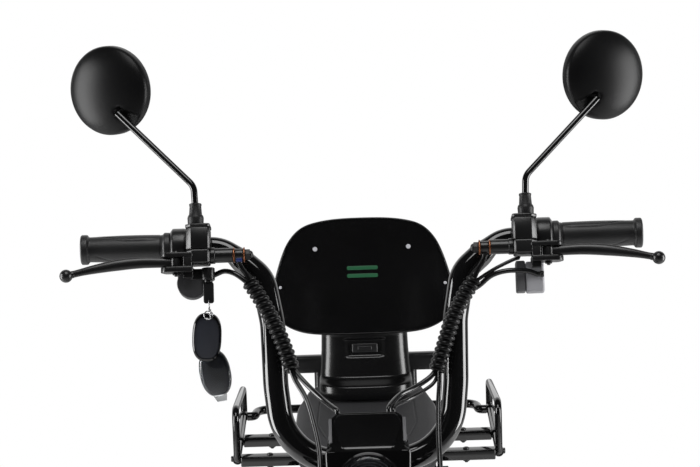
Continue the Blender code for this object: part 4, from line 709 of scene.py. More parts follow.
VINYL_EDGE = finish_of(
    "grey_piping", "seat_vinyl", LEATHER, {"Color": 0.060, "Cells": 900.0, "Depth": 0.2, "Roughness": 0.34},
)
DISC_FINISH = {word: finish_of(f"brushed_{word}_disc", "bright_steel", BRUSHED, {"Color": (0.58, 0.58, 0.60),
                                "Centre": tuple(axle * MM), "Roughness": 0.20}, 1.0)
               for word, axle in (("front", FRONT_AXLE), ("rear", REAR_AXLE))}

# ---- handlebar and controls ---------------------------------------------------------------


def handlebar():
    """The bent tube: a circle carried along the route, thinner past the bends where the controls sit."""
    path = resampled(bent(both_sides([(x, 0, z) for x, z in BAR_HALF]), BAR_BENDS + BAR_BENDS[::-1], 3), 260)
    blend = np.clip((np.abs(path[:, 0]) - 140) / 20, 0, 1)
    radius = BAR_R + (BAR_END_R - BAR_R) * blend * blend * (3 - 2 * blend)
    steered("handlebar_tube", carried(path, radius, 36), GLOSS, "handlebar")


def grip_sleeve():
    """A sleeve whose radius swells a little, less the leaf-shaped grooves that wind round it.

    The groove depth is a narrow bell of sin(3 a + k x), faded out towards both ends.
    """
    x, a = np.linspace(GRIP_START, GRIP_END - 0.5, 150)[:, None], angles(72)
    t = (x - GRIP_START) / (GRIP_END - GRIP_START)
    body = 15 + np.sin(np.pi * np.clip(t * 1.1, 0, 1))
    collar = 2.6 * ramp(GRIP_START + 7 - x, 0, 0.4)
    flange = 3 * ramp(x, GRIP_END - 9.5, 1 / 2.2)
    lip = 2.5 * np.clip((x - GRIP_END + 2.2) / 2.2, 0, 1) ** 2
    window = np.clip((x - 243) / 8, 0, 1) * np.clip((322 - x) / 8, 0, 1)
    phase = 3 * a + 0.042 * x + 0.9 * np.sin(0.06 * x)
    groove = 0.9 * np.exp(-((np.sin(phase / 2) / 0.085) ** 2)) * window
    r = body + collar + flange - lip - groove - 0.5 * np.exp(-(((x - 240.5) / 0.7) ** 2))
    points = np.stack([x + 0 * a, r * np.cos(a), BAR_UP + r * np.sin(a)], axis=-1)
    return together(shell(points), rod((GRIP_END - 3, 0, BAR_UP), (GRIP_END, 0, BAR_UP), 10.5, 32, 1.5))


def reservoir():
    """The brake fluid block: an eight-sided outline given its height, with its lid and two screws."""
    x0, x1, y0, y1, c, d = 179.5, 208, -45, -13, 6.2, 2.6
    outline = outline_of([(x0 + d, y0), (x1 - c, y0), (x1, y0 + c), (x1, y1 - c), (x1 - c, y1), (x0 + d, y1),
                          (x0, y1 - d), (x0, y0 + d)], 0.8, 30)
    body = slab(outline, 270.8, 296.5, 1, steps=3)
    under = slab(inset_of(outline, 0.8), 253.5, 271.2, 3)
    lid = slab(inset_of(outline, -0.6), 296.8, 301.2, 1.4, steps=4)
    return together(body, under, lid, *[screw((193.8, y, 300.8), (0, 0, 1), 2.6, 1.2) for y in (-40, -18.5)])


def master_body():
    """The cylinder under the reservoir, its clamp, lever bracket, fin and bolts."""
    y, z = BANJO[1:]
    bracket = outline_of([(200, -45), (234, -44), (239.5, -36), (234, -25.5), (200, -22)], [2, 6, 6, 5, 2])
    parts = [rod((152.5, y, z), (208, y, z), 8.8, 32, 1), rod((174, y, z), (180, y, z), 9.8, 32, 1),
             placed(bush(11.6, 17.2, 0, 24, 1, 40), move(183.5, 0, BAR_UP) @ facing((1, 0, 0))),
             box((185, -20, 268), (206, -10, 294)),
             *[slab(bracket, low, high, 0.9, steps=3) for low, high in ((243.8, 250.3), (261.7, 267.2))],
             box(
                 (201, -44, 244), (211.5, -23.5, 267), 1.5, 0.8,
             ), box((200.5, -37.5, 237.2), (212, -31, 257), 1, 0.6),
             screw((*LEVER_PIN[:2], 267), (0, 0, 1), 4.2, 2.6),
             nut((*LEVER_PIN[:2], 244), (0, 0, -1), 4.2, 3.2)]
    return together(*parts, *[screw((195.2, 16, up), (0, 1, 0), 3.4, 2.5) for up in (270, 292)])


def banjo():
    """The hose's eye, the neck the hose leaves by, and its bolt with a domed head."""
    x, y, z = BANJO
    return together(rod((x - 5.2, y, z), (x + 5.2, y, z), 7.4, 28, 1.2),
                    rod((x, y, z - 4.5), (x, y, z - 10.5), 4, 20),
                    nut((138.8, y, z), (-1, 0, 0), 6.8, 6.2), ball((132.2, y, z), 4.8, 12, (0.7, 1, 1)))


def washers():
    """Two copper washers either side of the eye."""
    x, y, z = BANJO
    return together(*[rod((at, y, z), (at + 1.5, y, z), 9, 32, 0.4) for at in (x + 5.3, x - 6.8)])


def lever_blade():
    """The lever: an oval section carried along its sweep, tall at the root and slim before the ball."""
    route = [
        LEVER_PIN, (234, -38, 256), (262, -41, 256.2), (290, -44.5, 253.5), (320, -48, 248.2),
        (343, -50, 243),
    ]
    path = resampled(curve(route, 12), 70)
    t = np.linspace(0, 1, 70)
    tall = 5.4 + 1.4 * np.sin(np.pi * np.clip(t * 1.1, 0, 1)) - 1.4 * np.clip((t - 0.55) / 0.45, 0, 1)
    verts, faces = carried(path, tall, 20, (0, 0, 1), power=2.4)
    middle = np.repeat(path[:, 1], 20)
    verts[:, 1] = middle + (verts[:, 1] - middle) * (0.62 + 0.3 * np.repeat(t, 20))
    eye = rod((*LEVER_PIN[:2], 250.8), (*LEVER_PIN[:2], 261.2), 6.6, 28)
    neck = rod((340, -49.7, 243.6), (345, -50.2, 242.5), 4.4, 20, 0.8)
    return together((verts, faces), eye, neck, ball((349.2, -50.6, 241.5), 7.8, 18))


def stem_rod():
    """The mirror's rod: upright out of its boot, then bent outwards."""
    return carried(resampled(bent([(*MIRROR_STEM, 318), (198, -30, 349), MIRROR_ROOT], 18, 3), 80), 4, 20)


def stem_boot():
    """The rubber boot: a flared cup, a waist and a tapered neck, turned round the rod."""
    profile = [
        (0, 0.2), (9.4, 0.2), (9.8, 8), (9, 10.8), (7.8, 12), (7, 22), (7.4, 23.2), (7.4, 25.2), (4.4, 25.6),
        (0, 25.6),
    ]
    boot = turned(rounded(profile, [0.6, 1.2, 1, 0.8, 0.8, 0.5, 0.5, 0.3]), 36)
    return placed(boot, move(*MIRROR_STEM, BLOCK_TOP))


MIRROR_PLACE = move(301, -10, 474) @ turn("Z", 28) @ turn("X", -75)


def mirror_shell():
    """The mirror's back: a dome over a disc with a rim wall, sunk where the rod enters.

    Radius r runs out and angle a round; the dome's height is -16 mm (1 - r squared) to the power 0.62,
    plus a pocket that falls off with the distance from the rod's line.
    """
    r, a, radius = np.concatenate(
        [np.linspace(0, 0.94, 44), np.linspace(0.955, 1, 6)]
    )[:, None], angles(96), 53.5
    x, y = radius * r * np.cos(a), radius * r * np.sin(a)
    back = MIRROR_PLACE.inverted()
    root, far = back @ Vector(MIRROR_ROOT), back @ Vector((270, -26.8, 423))
    line = unit(np.array((far - root)[:2]))
    px, py = x - root.x, y - root.y
    along = np.clip(px * line[0] + py * line[1], -2, 60)
    away = np.hypot(px - along * line[0], py - along * line[1])
    pocket = 12.5 * ramp(5.2 + 0.16 * np.clip(along, 0, 50) - away, 0, 0.6)
    z = pocket - 16 * np.clip(1 - r**2, 0, 1) ** 0.62
    z = np.where(pocket > 2, np.minimum(z, 0.5), z)
    wall = [(1.008, 1), (1.01, 4), (1.01, 10), (1, 11.8), (0.975, 12), (0.96, 10.8)]
    rows = [np.stack([x, y, z], axis=-1), [ring_of(radius * k, a, up) for k, up in wall]]
    verts, faces = shell(np.concatenate(rows), capped=False)
    return verts, faces + [list(range(len(verts) - len(a), len(verts)))]


def mirror_face():
    """The silvered glass in its rim, a shallow bowed disc."""
    bowed = [(51.2 * v, 11.3 + 0.6 * (1 - v * v)) for v in np.linspace(1, 0, 20)]
    return turned([(0, 10.5), (51.2, 10.5), *bowed], 72)


def controls():
    """Everything that both ends of the handlebar share."""
    both("grip_sleeve", grip_sleeve(), RUBBER, "grip")
    both("brake_reservoir", reservoir(), SATIN)
    both("brake_body", master_body(), SATIN, "brake_master")
    both("banjo_eye", banjo(), SATIN)
    both("banjo_washers", washers(), COPPER)
    both("lever_blade", lever_blade(), SATIN, "brake_lever")
    both("mirror_rod", stem_rod(), GLOSS, slot="satin_black_plastic")
    both("mirror_boot", stem_boot(), MATT, "mirror_stem")
    both("mirror_shell", placed(mirror_shell(), MIRROR_PLACE), MIRROR_BACK, "mirror_head")
    both("mirror_face", placed(mirror_face(), MIRROR_PLACE), MIRROR)
    x, y, z = BANJO
    steered("hose_mark", rod((-x - 3.5, y - 2, z - 5.5), (-x + 3.5, y - 2, z - 5.5), 4, 16), BLUE)


def control_collar(side):
    """The stepped collar that holds a housing on the bar."""
    profile = [(11.7, 0), (21.5, 0), (22.2, 4), (22.2, 17.5), (18, 20.5), (11.7, 20.5)]
    return placed(
        turned_ring(profile, [1, 2, 2, 1], 48), move(side * 208.5, 0, BAR_UP) @ facing((side, 0, 0)),
    )


def control_housings():
    """The lock with its round cover on the right, and the two-part switch box with its gland on the left."""
    x, y, z = COVER
    neck, arm = box(
        (-220, y + 3, z), (-210, y + 15, BAR_UP - 9), 1.5,
    ), box((-203, y - 1, 237), (-177, y + 16, 250), 1.5)
    lock = rod((*KEY[:2], 250), (*KEY[:2], 235.2), 7.8, 32, 1)
    steered("throttle_body", together(control_collar(-1), neck, arm, lock), SATIN, "throttle_housing")
    cover = together(rod((x, y + 18, z), COVER, 17.8, 56, 1.2), torus((x, y + 1, z), 16.2, 0.6, "Y"))
    steered("throttle_cover", cover, COVER_GREY)
    neck, gland = box((209.5, -19.5, 244), (215, -7, 272), 1), rod(
        (215, -26.5, 230.5), (210.8, -26.5, 230.5), 3.8, 20,
    )
    steered("switch_body", together(control_collar(1), neck, gland), SATIN, "switch_housing")
    steered("switch_dark", box((182.2, -22.5, 210.6), (193.6, -6, 248), 2.5, 2), GREY_DARK)
    steered("switch_light", box((194, -23.5, 210), (215.8, -6, 246.5), 3, 2.2), GREY_LIGHT)


# ---- key, fobs and cables -----------------------------------------------------------------


def fob_place(across, down, behind, degrees):
    """A fob's frame: it hangs straight down from the ring, so the steering's lean is taken off again."""
    plumb = STEER @ move(KEY[0], KEY[1] + behind, 199) @ Matrix.Rotation(RAKE, 4, "X")
    return plumb @ move(across, 4, down) @ turn("Y", degrees) @ turn("X", 90)


def fob_outline(half_w, half_h, power=2.7):
    """A squared oval: cos and sin raised to 2 / power, their signs kept."""
    a = angles(72)
    return np.column_stack([half_w * signed(np.cos(a), 2 / power), half_h * signed(np.sin(a), 2 / power)])


def key_and_fobs():
    """Key head, split rings, the two fobs and the clear sleeve round the lower one."""
    x, y, z = KEY
    outline = outline_of(
        [(-6.2, -4.5), (6.2, -4.5), (6.2, 19), (3.5, 22.5), (-3.5, 22.5), (-6.2, 19)], [3, 3, 2, 1, 1, 2],
    )
    head = placed(slab(outline, -1.6, 1.6, 0.8), move(*KEY) @ turn("X", 90))
    steered("key_head", together(head, rod((x, y, 232.5), (x, y, 235.8), 5)), SATIN)
    rings = [torus((x, y, z - 7.6), 6.5, 0.8, "X"), torus((x - 0.8, y, z - 18.5), 5, 0.7, "Y"),
             torus((x + 1.6, y + 3.5, z - 17), 5.6, 0.7, "X")]
    steered("key_rings", together(*rings), BRIGHT, "key")
    upper, lower = fob_place(-4, -33, 0, 4), fob_place(3.5, -77, 6, -9)
    shape = fob_outline(17, 28.7)
    steered("fob_upper", slab(shape, -5.8, 5.8, 4, crown=1), FOB, "key_fobs", place=upper)
    outer, inner = shape * 1.02, shape * 0.9
    rows = [
        level(outer, 0.5), level(outer, 4), level(inset_of(outer, 1), 6.2), level(inner, 7),
        level(inner, 0.5),
    ]
    steered("fob_band", shell(np.stack(rows), ring=True), PANEL, place=upper, slot="satin_black_plastic")
    steered("fob_lower", slab(fob_outline(16.5, 26.2), -5.2, 4.2, 3.4, crown=2), FOB, place=lower)
    bag = slab(fob_outline(18.6, 29, 2.4), -6.6, 6, 5.4, crown=2.6)
    steered("fob_sleeve", bag, CLEAR, place=lower, slot="satin_black_plastic")
    tail = slab(outline_of([(-4, -36), (7, -36), (9, -27), (-8, -27)], 1), -1.2, 1.2, 0.6)
    steered("sleeve_tail", tail, CLEAR, place=lower, slot="satin_black_plastic")


WRAP_LEFT = [
    (133.1, 226.5), (121.9, 211.5), (113.1, 196.5), (104.8, 181), (97.5, 159.5), (90.2, 138), (83.4, 119),
]
WRAP_RIGHT = [(-135, 232.5), (-124.6, 216), (-113.3, 195.3), (-102, 171.1), (-93.5, 148.1), (-86.5, 126.5)]


def spiral_wrap(points, hand):
    """The spiral wrap: a bundle whose radius swells and dips along a helix, like beads on a cord.

    With phase = 2 pi s / pitch + hand a, the radius is 6.4 mm + 3.6 mm |cos(phase / 2)| to the power 0.55.
    """
    path = resampled(curve([(x, WRAP_BEHIND, z) for x, z in points], 12), 440)
    phase = 2 * np.pi * lengths_along(path)[:, None] / 7 + hand * angles(32)
    return carried(path, 6.4 + 3.6 * np.abs(np.cos(phase / 2)) ** 0.55, 32)


def hose(radius, points):
    """A hose: a circle carried along the smooth curve through its points."""
    path = curve(points, 10)
    return carried(resampled(path, max(24, int(lengths_along(path)[-1] / 3))), radius, 16)


def cables():
    """Wraps, hoses and wires: the same routes as the part's source."""
    steered("wrap_left", spiral_wrap(WRAP_LEFT, 1), WRAP, smooth=180)
    steered("wrap_right", spiral_wrap(WRAP_RIGHT, -1), WRAP, smooth=180)
    b, y, z, start = WRAP_BEHIND, LAMP_BACK, LAMP_TOP, 256.7
    left = [
        (
            HOSE_R,
            [
                (145.7, -30, start), (145.7, -30, start - 3), (142.5, -29, 246), (136.5, -27, 237),
                (129, b, 221),
            ],
        ),
        (CABLE_R, [(186, -30, 251.7), (185.8, -30, 249.7), (179, -31, 247.8), (158.9, -31, 238.6),
                   (141.3, -28, 228.8),
                   (130, b, 221)]),
        (HOSE_R, [(210.7, -26.5, 230.5), (207, -26.5, 230.5), (195, -30, 234), (172, -33, 234.5),
                  (153, -30, 230),
                  (138, -26, 219), (125, b, 212)]),
        (HOSE_R, [(86, b, 126), (77.5, -26.5, 113), (58.5, -34, 99.6), (40.8, -48, 89.9), (29.7, -66, 78.2),
                  (25.5, y - 8, z + 4), (25.5, y - 8, z)]),
        (CABLE_R, [(86.5, b, 124), (81, -27, 106), (66, -33, 94), (49.4, -44, 84), (35, -64, 76),
                   (31, y - 6, z + 3),
                   (31, y - 6, z)]),
        (HOSE_R, [(87.5, b, 124), (86.8, -28, 105), (84.4, -34, 79), (82.8, -49, 39.6), (82.6, -64, 14),
                  (82.4, -72.2, -3), (82.2, -74.5, -25), (82.2, -76, -80), (82, -75, -187.7)]),
    ]
    steered("hoses_left", together(*[hose(*route) for route in left]), HOSE, "cables_left", smooth=60)
    caliper_y, caliper_z = CALIPER_SEAT
    behind = LOWER_R + HOSE_R - FORK_OFFSET
    right = [
        (
            HOSE_R,
            [
                (-145.7, -30, start), (-145.7, -30, start - 3), (-142.5, -29, 247), (-137.5, -27, 240),
                (-131, b, 226),
            ],
        ),
        (HOSE_R, [(-179, -15, 242), (-174, -16, 244), (-164, -20, 246.6), (-152, -26, 242.5),
                  (-139.3, -27, 233),
                  (-129, b, 222)]),
        (HOSE_R, [(-88, b, 131), (-80.5, -26.5, 120), (-66.9, -34, 103.6), (-49.7, -50, 85),
                  (-35, y - 7, z + 4),
                  (-34, y - 8, z)]),
        (HOSE_R, [(-88.5, b, 129), (-83, -27, 113), (-70.5, -34, 89), (-62.5, -47, 59.1), (-57, -61, 30.1),
                  (-55.5, -71, 6), (-56, -74, -16), (-55.5, -75, -120), (-52, -74, -215), (-25, -66, -262),
                  (25, -45, -286), (56, -25, -312), (66, behind + 4, -345), (68, behind + 2, -400),
                  (68, behind + 2, -490), (65, behind + 3, -545), (56, caliper_y - 2, caliper_z + 30),
                  (49, caliper_y + 11, caliper_z + 19)]),
    ]
    steered("hoses_right", together(*[hose(*route) for route in right]), HOSE, "cables_right", smooth=60)


# ---- seat and backrest --------------------------------------------------------------------

SEAT_HALF = [(86, 318), (110, 450), (107, 600), (90, 705)]
SEAT_RADII = [60, 150, 200, 35]
SEAT_LOW = 612.1
PANEL_LEAN = radians(12.9)
PANEL_TURN = move(0, 600, 757) @ Matrix.Rotation(-PANEL_LEAN, 4, "X")
PANEL_T = 8
PANEL_SIDE = [(36, 0), (70, 1), (98, 5.6), (122, 16.8), (136.2, 33), (141.5, 55), (136.5, 88.5), (124, 127.7),
              (111, 151.5), (93, 168), (68, 176.5), (30, 180.8)]


def seat():
    """The padded seat with its piping, over its moulded pan.

    The cushion is the outline drawn in by d at height z, layer by layer; on top z = low + rise (1 - f
    squared) less a sewn channel, a narrow bell at f = 0.80, where f shrinks the outline to its middle.
    """
    outline = mirrored_outline(SEAT_HALF, SEAT_RADII, 3)
    side = [(12, 0), (5, 0.4), (1.5, 3), (0.4, 8), (0, 15), (0.4, 21.5), (1.4, 24.5), (2.2, 26.2), (1.6, 28),
            (3, 32.2),
            (6.2, 35.8), (10.8, 38.1), (16, 39.3)]
    rows = [level(inset_of(outline, d), SEAT_LOW + z) for d, z in side]
    top, middle = rows[-1][:, :2], np.array([0, 530])
    f = np.concatenate([np.linspace(0.985, 0.72, 24), np.linspace(0.69, 0, 16)])
    height = SEAT_LOW + 39.3 + 2.6 * (1 - f**2) - 1.1 * np.exp(-(((f - 0.8) / 0.009) ** 2))
    rows += [level(middle + (top - middle) * k, z) for k, z in zip(f, height)]
    verts, faces = shell(np.stack(rows), capped=False)
    made = framed("seat_padding", (verts, faces + [list(range(len(top)))]), VINYL, "seat_cushion", smooth=180)
    framed(
        "seat_piping", looped(level(inset_of(outline, 1.2), SEAT_LOW + 26.2), 1.9, 12), VINYL_EDGE,
        smooth=180,
    )
    framed("seat_pan", slab(inset_of(outline, 4), 596.1, 611.9, 3), MATT, "seat_base")


def column_shape():
    """The moulded column: squared ovals whose half width, front and back change with height.

    The front face sinks by up to 3.5 mm inside the latch's window, whose rim is a smooth step in x and z.
    """

    def panel(z):
        """Just behind the panel's back at height z."""
        return 600 + (z - 757) * math.tan(PANEL_LEAN) + PANEL_T / math.cos(PANEL_LEAN) + 0.3

    marks = np.array([
        (612.1, 58, 590, 650), (654, 58, 590, 650), (657.5, 66.5, 573, 656), (664, 71.8, 567, 658),
        (670, 72.5, 566, 658), (681, 72.5, 570, 660), (684.5, 71.8, 590, 661), (688, 70.8, 597, 662),
        (725, 68, 604, 668), (750, 67.2, 608, 672), (756, 69, 608.5, 674), (762, 73.8, panel(762), 676),
        (800, 73.8, panel(800), 680), (850, 64, panel(850), 684), (860, 59, panel(860), 683),
        (865.7, 48, panel(866), 680)])
    z = np.linspace(marks[0, 0], marks[-1, 0], 270)
    half, front, back = [softened(np.interp(z, marks[:, 0], mark), 6)[:, None] for mark in marks.T[1:]]
    a, z = angles(104), z[:, None]
    c, s = signed(np.cos(a), 0.66), signed(np.sin(a), 0.66)
    x, y = half * c, (front + back) / 2 + (back - front) / 2 * s
    window = ramp(z, 720, 0.6) * ramp(-z, -747, 0.6) * ramp(29 - np.abs(x), 0, 0.7) * (s < 0)
    return shell(np.stack([x, y + 3.5 * window, z + 0 * x], axis=-1))


def backrest():
    """Column with its latch, and the glossy panel with its plugs, rim bead and two plain bars."""
    framed("column_moulding", column_shape(), COLUMN, "backrest_column", smooth=50)
    latch = together(box((-20, -2, -7), (20, 2, 7)), box((-11, -3.2, -3), (11, 2, 3), 1, 0.8))
    framed("column_latch", latch, SATIN, place=move(0, 607, 733) @ turn("X", -9))
    corners = both_sides(PANEL_SIDE)
    outline = curve([(x, z, 0) for x, z in corners + corners[:1]], 8)[:-1, :2]
    board = slab(outline, -PANEL_T, -1.4, 2.6, crown=1.4, steps=8, rings=14, under_edge=1.5)
    framed("panel_board", frontal(board), PANEL, "backrest_panel", place=PANEL_TURN, smooth=50)
    rim = looped(np.insert(inset_of(outline, 1.6), 1, -0.6, axis=1), 0.7, 10, (0, 1, 0))
    framed("panel_bead", rim, PANEL, place=PANEL_TURN, smooth=180)
    dome = turned(rounded([(0, -1), (3.6, -1), (3.6, 0.6), (0, 1.9)], [0.2, 0.6]), 24)
    plugs = [placed(dome, move(s * x, -0.4, z) @ turn("X", 90) @ Matrix.Diagonal((size, size, 1, 1)))
             for x, z, size in ((72.5, 134, 1), (128, 76, 0.66)) for s in (1, -1)]
    framed("panel_plugs", together(*plugs), GREY_LIGHT, place=PANEL_TURN, slot="bright_steel")
    bars = [
        frontal(slab(rectangle(-24, v - 3, 24, v + 3, 2.4), 0, 0.6, 0.3, steps=3), 0.4) for v in (91, 103)
    ]
    framed("panel_bars", together(*bars), GREEN, place=PANEL_TURN)


def grab_bar():
    """A squared bar with domed ends on two footed posts."""
    x = np.sin(np.linspace(-np.pi / 2, np.pi / 2, 90)) * 145
    radius = 14.5 * np.sqrt(1 - np.clip((np.abs(x) - 137) / 8, 0, 1) ** 2)
    radius[[0, -1]] = 1.2
    bar = carried(np.column_stack([x, 760 + 0 * x, 670 + 0 * x]), radius, 40, flat=0.7586, power=3.2)
    profile = [(0, 579.8), (12.5, 579.8), (12.5, 583.8), (8, 586), (8, 660), (0, 660)]
    post = turned(rounded(profile, [1, 1, 2, 1]), 28)
    parts = [placed(post, move(s * 75, 760)) for s in (1, -1)]
    framed("grab_bar_tube", together(bar, *parts), SATIN, "grab_bar", smooth=50)


# ---- guards and carrier -------------------------------------------------------------------

STRAP_YS = (505, 610)


def side_guards():
    """A bent rod loop on each side with clamps and bolts at its feet."""
    loop = outline_of([(765, 587.8), (765, 629.8), (505, 667.8), (505, 587.8)], [8, 10, 18, 8], 6)
    for word, s in SIDES:
        path = np.insert(loop, 0, s * 200, axis=1)
        framed(f"guard_rod_{word}", looped(path, 5.5, 20, (1, 0, 0)), GLOSS, f"guard_{word}", smooth=60)
        parts = []
        for y in (515, 610, 753):
            parts += [placed(bush(5.7, 7.8, -6, 6, 0.6, 28), move(s * 200, y, 587.8) @ turn("X", 90)),
                      screw((s * 207.6, y, 587.8), (s, 0, 0), 4.6, 2.6)]
        framed(f"guard_clamps_{word}", together(*parts), SATIN)


def carrier():
    """Flat bars with rounded edges, two strips tied with bolts, and the bent hoop."""
    parts = [box((-half, y - 10, 579.8), (half, y + 10, 595.8), 2, 1.8)
             for y, half in ((360, 102), (505, 194.2), (610, 194.2))]
    bolts = []
    for s in (1, -1):
        parts.append(box((s * 96 - 6, 360, 581.8), (s * 96 + 6, 790, 591.8), 1))
        bolts += [screw((s * 150, y, 595.7), (0, 0, 1), 4.8, 2.6) for y in STRAP_YS]
        bolts += [nut((s * 150, y, 579.9), (0, 0, -1), 5, 3.6) for y in STRAP_YS]
    corners = both_sides([(194.2, 753, 586.8), (182.2, 753, 586.8), (178, 790, 586.8)])
    parts.append(carried(bent(corners, [8, 20, 20, 8], 6), 7, 24, (0, 0, 1)))
    framed("carrier_bars", together(*parts), GLOSS, "carrier", smooth=40)
    framed("carrier_bolts", together(*bolts), SATIN, slot="bright_steel")


# ---- headlight ----------------------------------------------------------------------------

LAMP_FRONT = LAMP_BACK - 52
BROW_BACK = LAMP_BACK - 14
BROW_SLOPE = 52
LENS_UP = -22


def headlight():
    """The lamp's bucket, its brow plate with two painted highlight strips, bezel, reflector, light blocks and
    front glass.

    The bucket is its outline drawn in at both ends, and above the brow's plane every height is brought
    down to z = top + (y - edge) tan 52 degrees.
    """
    top = LAMP_TOP - 0.3
    outline = outline_of(
        [(-46, -64), (46, -64), (49, 16), (40, top), (-40, top), (-49, 16)], [20, 20, 20, 12, 12, 20], 3,
    )
    near, far = np.linspace(0, np.pi / 2, 8), np.linspace(0, np.pi / 2, 6)
    y = np.concatenate([LAMP_FRONT + 4 * (1 - np.cos(near)), np.linspace(LAMP_FRONT + 5, LAMP_BACK - 2.3, 44),
                        LAMP_BACK - 0.3 - 2 * np.cos(far)])
    inset = np.concatenate([4 * (1 - np.sin(near)), np.zeros(44), 2 * (1 - np.cos(far))])
    rows = []
    for at, d in zip(y, inset):
        flat = inset_of(outline, d)
        limit = max(LAMP_TOP + (at - BROW_BACK) * math.tan(radians(BROW_SLOPE)), 12)
        rows.append(np.column_stack([flat[:, 0], np.full(len(flat), at), np.minimum(flat[:, 1], limit)]))
    steered("lamp_bucket", shell(np.stack(rows)), PANEL, "headlight_housing", smooth=32)
    plate = outline_of(
        [(-29, -59), (29, -59), (39.5, -18), (34.5, -3), (-34.5, -3), (-39.5, -18)], [6, 6, 14, 8, 8, 14], 5,
    )
    tilt = STEER @ move(0, BROW_BACK, LAMP_TOP) @ turn("X", BROW_SLOPE)
    steered("lamp_brow", slab(plate, -1, 1, 1.2, crown=0.6), BROW, place=tilt, smooth=50)
    # Two dark grey strips along the brow's gloss black sides are a painted highlight, not a trim of their
    # own.
    highlight_strips = [box((s * 42.5 - 1.8, -48, -1.2), (s * 42.5 + 1.8, -10, 1.2), 1.2, 0.6) for s in (1, -1)]
    steered("lamp_painted_highlights", together(*highlight_strips), GREY_DARK, place=tilt, slot="gloss_black")
    face = STEER @ move(0, LAMP_FRONT, LENS_UP) @ turn("X", 90)
    bezel = turned_ring([(33.5, 0.2), (38.5, 0.2), (38.5, 4.5), (36, 8.5), (33.5, 8.5)], [0.4, 1.2, 1.2], 72)
    steered("lamp_bezel", bezel, GLOSS, place=face)
    bowl = [(v, 0.6 + 0.0052 * (v - 10) ** 2 + 0.25 * math.sin(4.2 * v)) for v in np.linspace(33.4, 10, 24)]
    steered("lamp_reflector", turned([(33.4, 0.3), *bowl, (0, 0.6), (0, 0.3)], 72), SMOKED, place=face)
    lights = [
        box(
            (x - 3.5, z - 3.5, 0.6), (x + 3.5, z + 3.5, 2.8), 1, 0.5,
        ) for x in (-9.5, 0, 9.5) for z in (-4.5, 4.5)
    ]
    steered("lamp_lights", together(*lights), AMBER_LIGHT, place=face)
    dome = [(33.2 * math.cos(v), 8 + 4 * math.sin(v)) for v in np.linspace(0, np.pi / 2, 16)[:-1]]
    glass = turned([(0, 8.8), (30, 7), (33.2, 6.2), *dome, (0, 12)], 72)
    steered("lamp_glass", glass, CLEAR, "headlight_lens", place=face, smooth=50)


# ---- wheels -------------------------------------------------------------------------------


def tyre():
    """A tyre with tread: a rounded profile turned about X, less grooves in its tread.

    Over angle a and place x across, the side grooves follow sin(30 a + 0.095 |x|), two rings run round at
    |x| = 9 mm, and a fine zigzag runs down the middle; each is a smooth step, faded out on the walls.
    """
    side = [(0, WHEEL_R), (10, 228.8), (20, 226.6), (29, 221.8), (35, 214), (37.8, 204), (38.4, 196),
            (37.6, 187),
            (34.8, 178), (30, 170.8), (26.2, 166.8), (24, 164), (24, 156), (23.2, 153.7)]
    half = np.vstack([curve([(x, r, 0) for x, r in side], 3)[:, :2], [(18, 153.7), (12, 154), (0, 154)]])
    profile = np.vstack([half, half[1:-1][::-1] * (-1, 1)])
    x, r = profile[:, :1], profile[:, 1:]
    a, size = angles(540), np.abs(x)
    blocks = ramp(np.sin(30 * a + 0.095 * size + 0.6 * np.sign(x)), 0.8, 0.05) * (size > 10.5)
    rings = np.exp(-(((size - 9) / 1.3) ** 4)) + np.exp(-(((x - 1.6 * np.sin(45 * a)) / 0.8) ** 4))
    sipes = 0.5 * ramp(np.sin(60 * a + 0.26 * size), 0.93, 0.03) * (size < 8)
    tread = np.clip((r - 208) / 5, 0, 1)
    bands = 0.4 * (np.cos((r - 170) * 2 * np.pi / 4.5) > 0.3) * (r < 200) * (r > 176)
    r = r - 3.6 * np.clip(blocks + rings + sipes, 0, 1) * tread + bands
    return shell(np.stack([x + 0 * a, r * np.sin(a), r * np.cos(a)], axis=-1), ring=True)


def rim_shape():
    """The rim: a dropped channel with rolled lips, turned about X."""
    outer = [(27.5, 162.8), (27.5, 158), (25.5, 154.5), (23.2, 149.5), (22, 138), (20.5, 133.8), (15, 133)]
    inner = [(24.3, 162.8), (24.3, 153.6), (17.5, 153), (12, 150)]
    corners = both_sides(outer) + [(-x, r) for x, r in inner] + inner[::-1]
    return along_x(turned(outline_of(corners, 0.8, 30)[:, ::-1], 120, hollow=True))


def spoke(hub_r):
    """One cast spoke: a squared section that tapers from the hub and flares into the rim, with sunk faces.

    Half width w(r) = 14.5 mm + 6 mm (1 - t)^1.5 + 5 mm t^8, and the faces sink by 2.6 mm inside 0.55 w.
    """
    r, a = np.linspace(hub_r - 8, 137.5, 44)[:, None], angles(44)
    t = (r - r[0]) / (r[-1] - r[0])
    w = 14.5 + 6 * (1 - t) ** 1.5 + 5 * t**8
    y = w * signed(np.cos(a), 0.42)
    sunk = 2.6 * ramp(0.55 * w - np.abs(y), 0, 0.6) * ramp(0.4 - np.abs(t - 0.5), 0, 0.012)
    return shell(np.stack([(11 - sunk) * signed(np.sin(a), 0.35), y, r + 0 * a], axis=-1))


def cast_wheel(hub, hub_r):
    """Rim, hub and spokes in the wheel's own frame."""
    arms = [placed(spoke(hub_r), turn("X", 360 * i / SPOKES)) for i in range(SPOKES)]
    return together(rim_shape(), along_x(turned_ring(hub, 1.5, 72)), *arms)


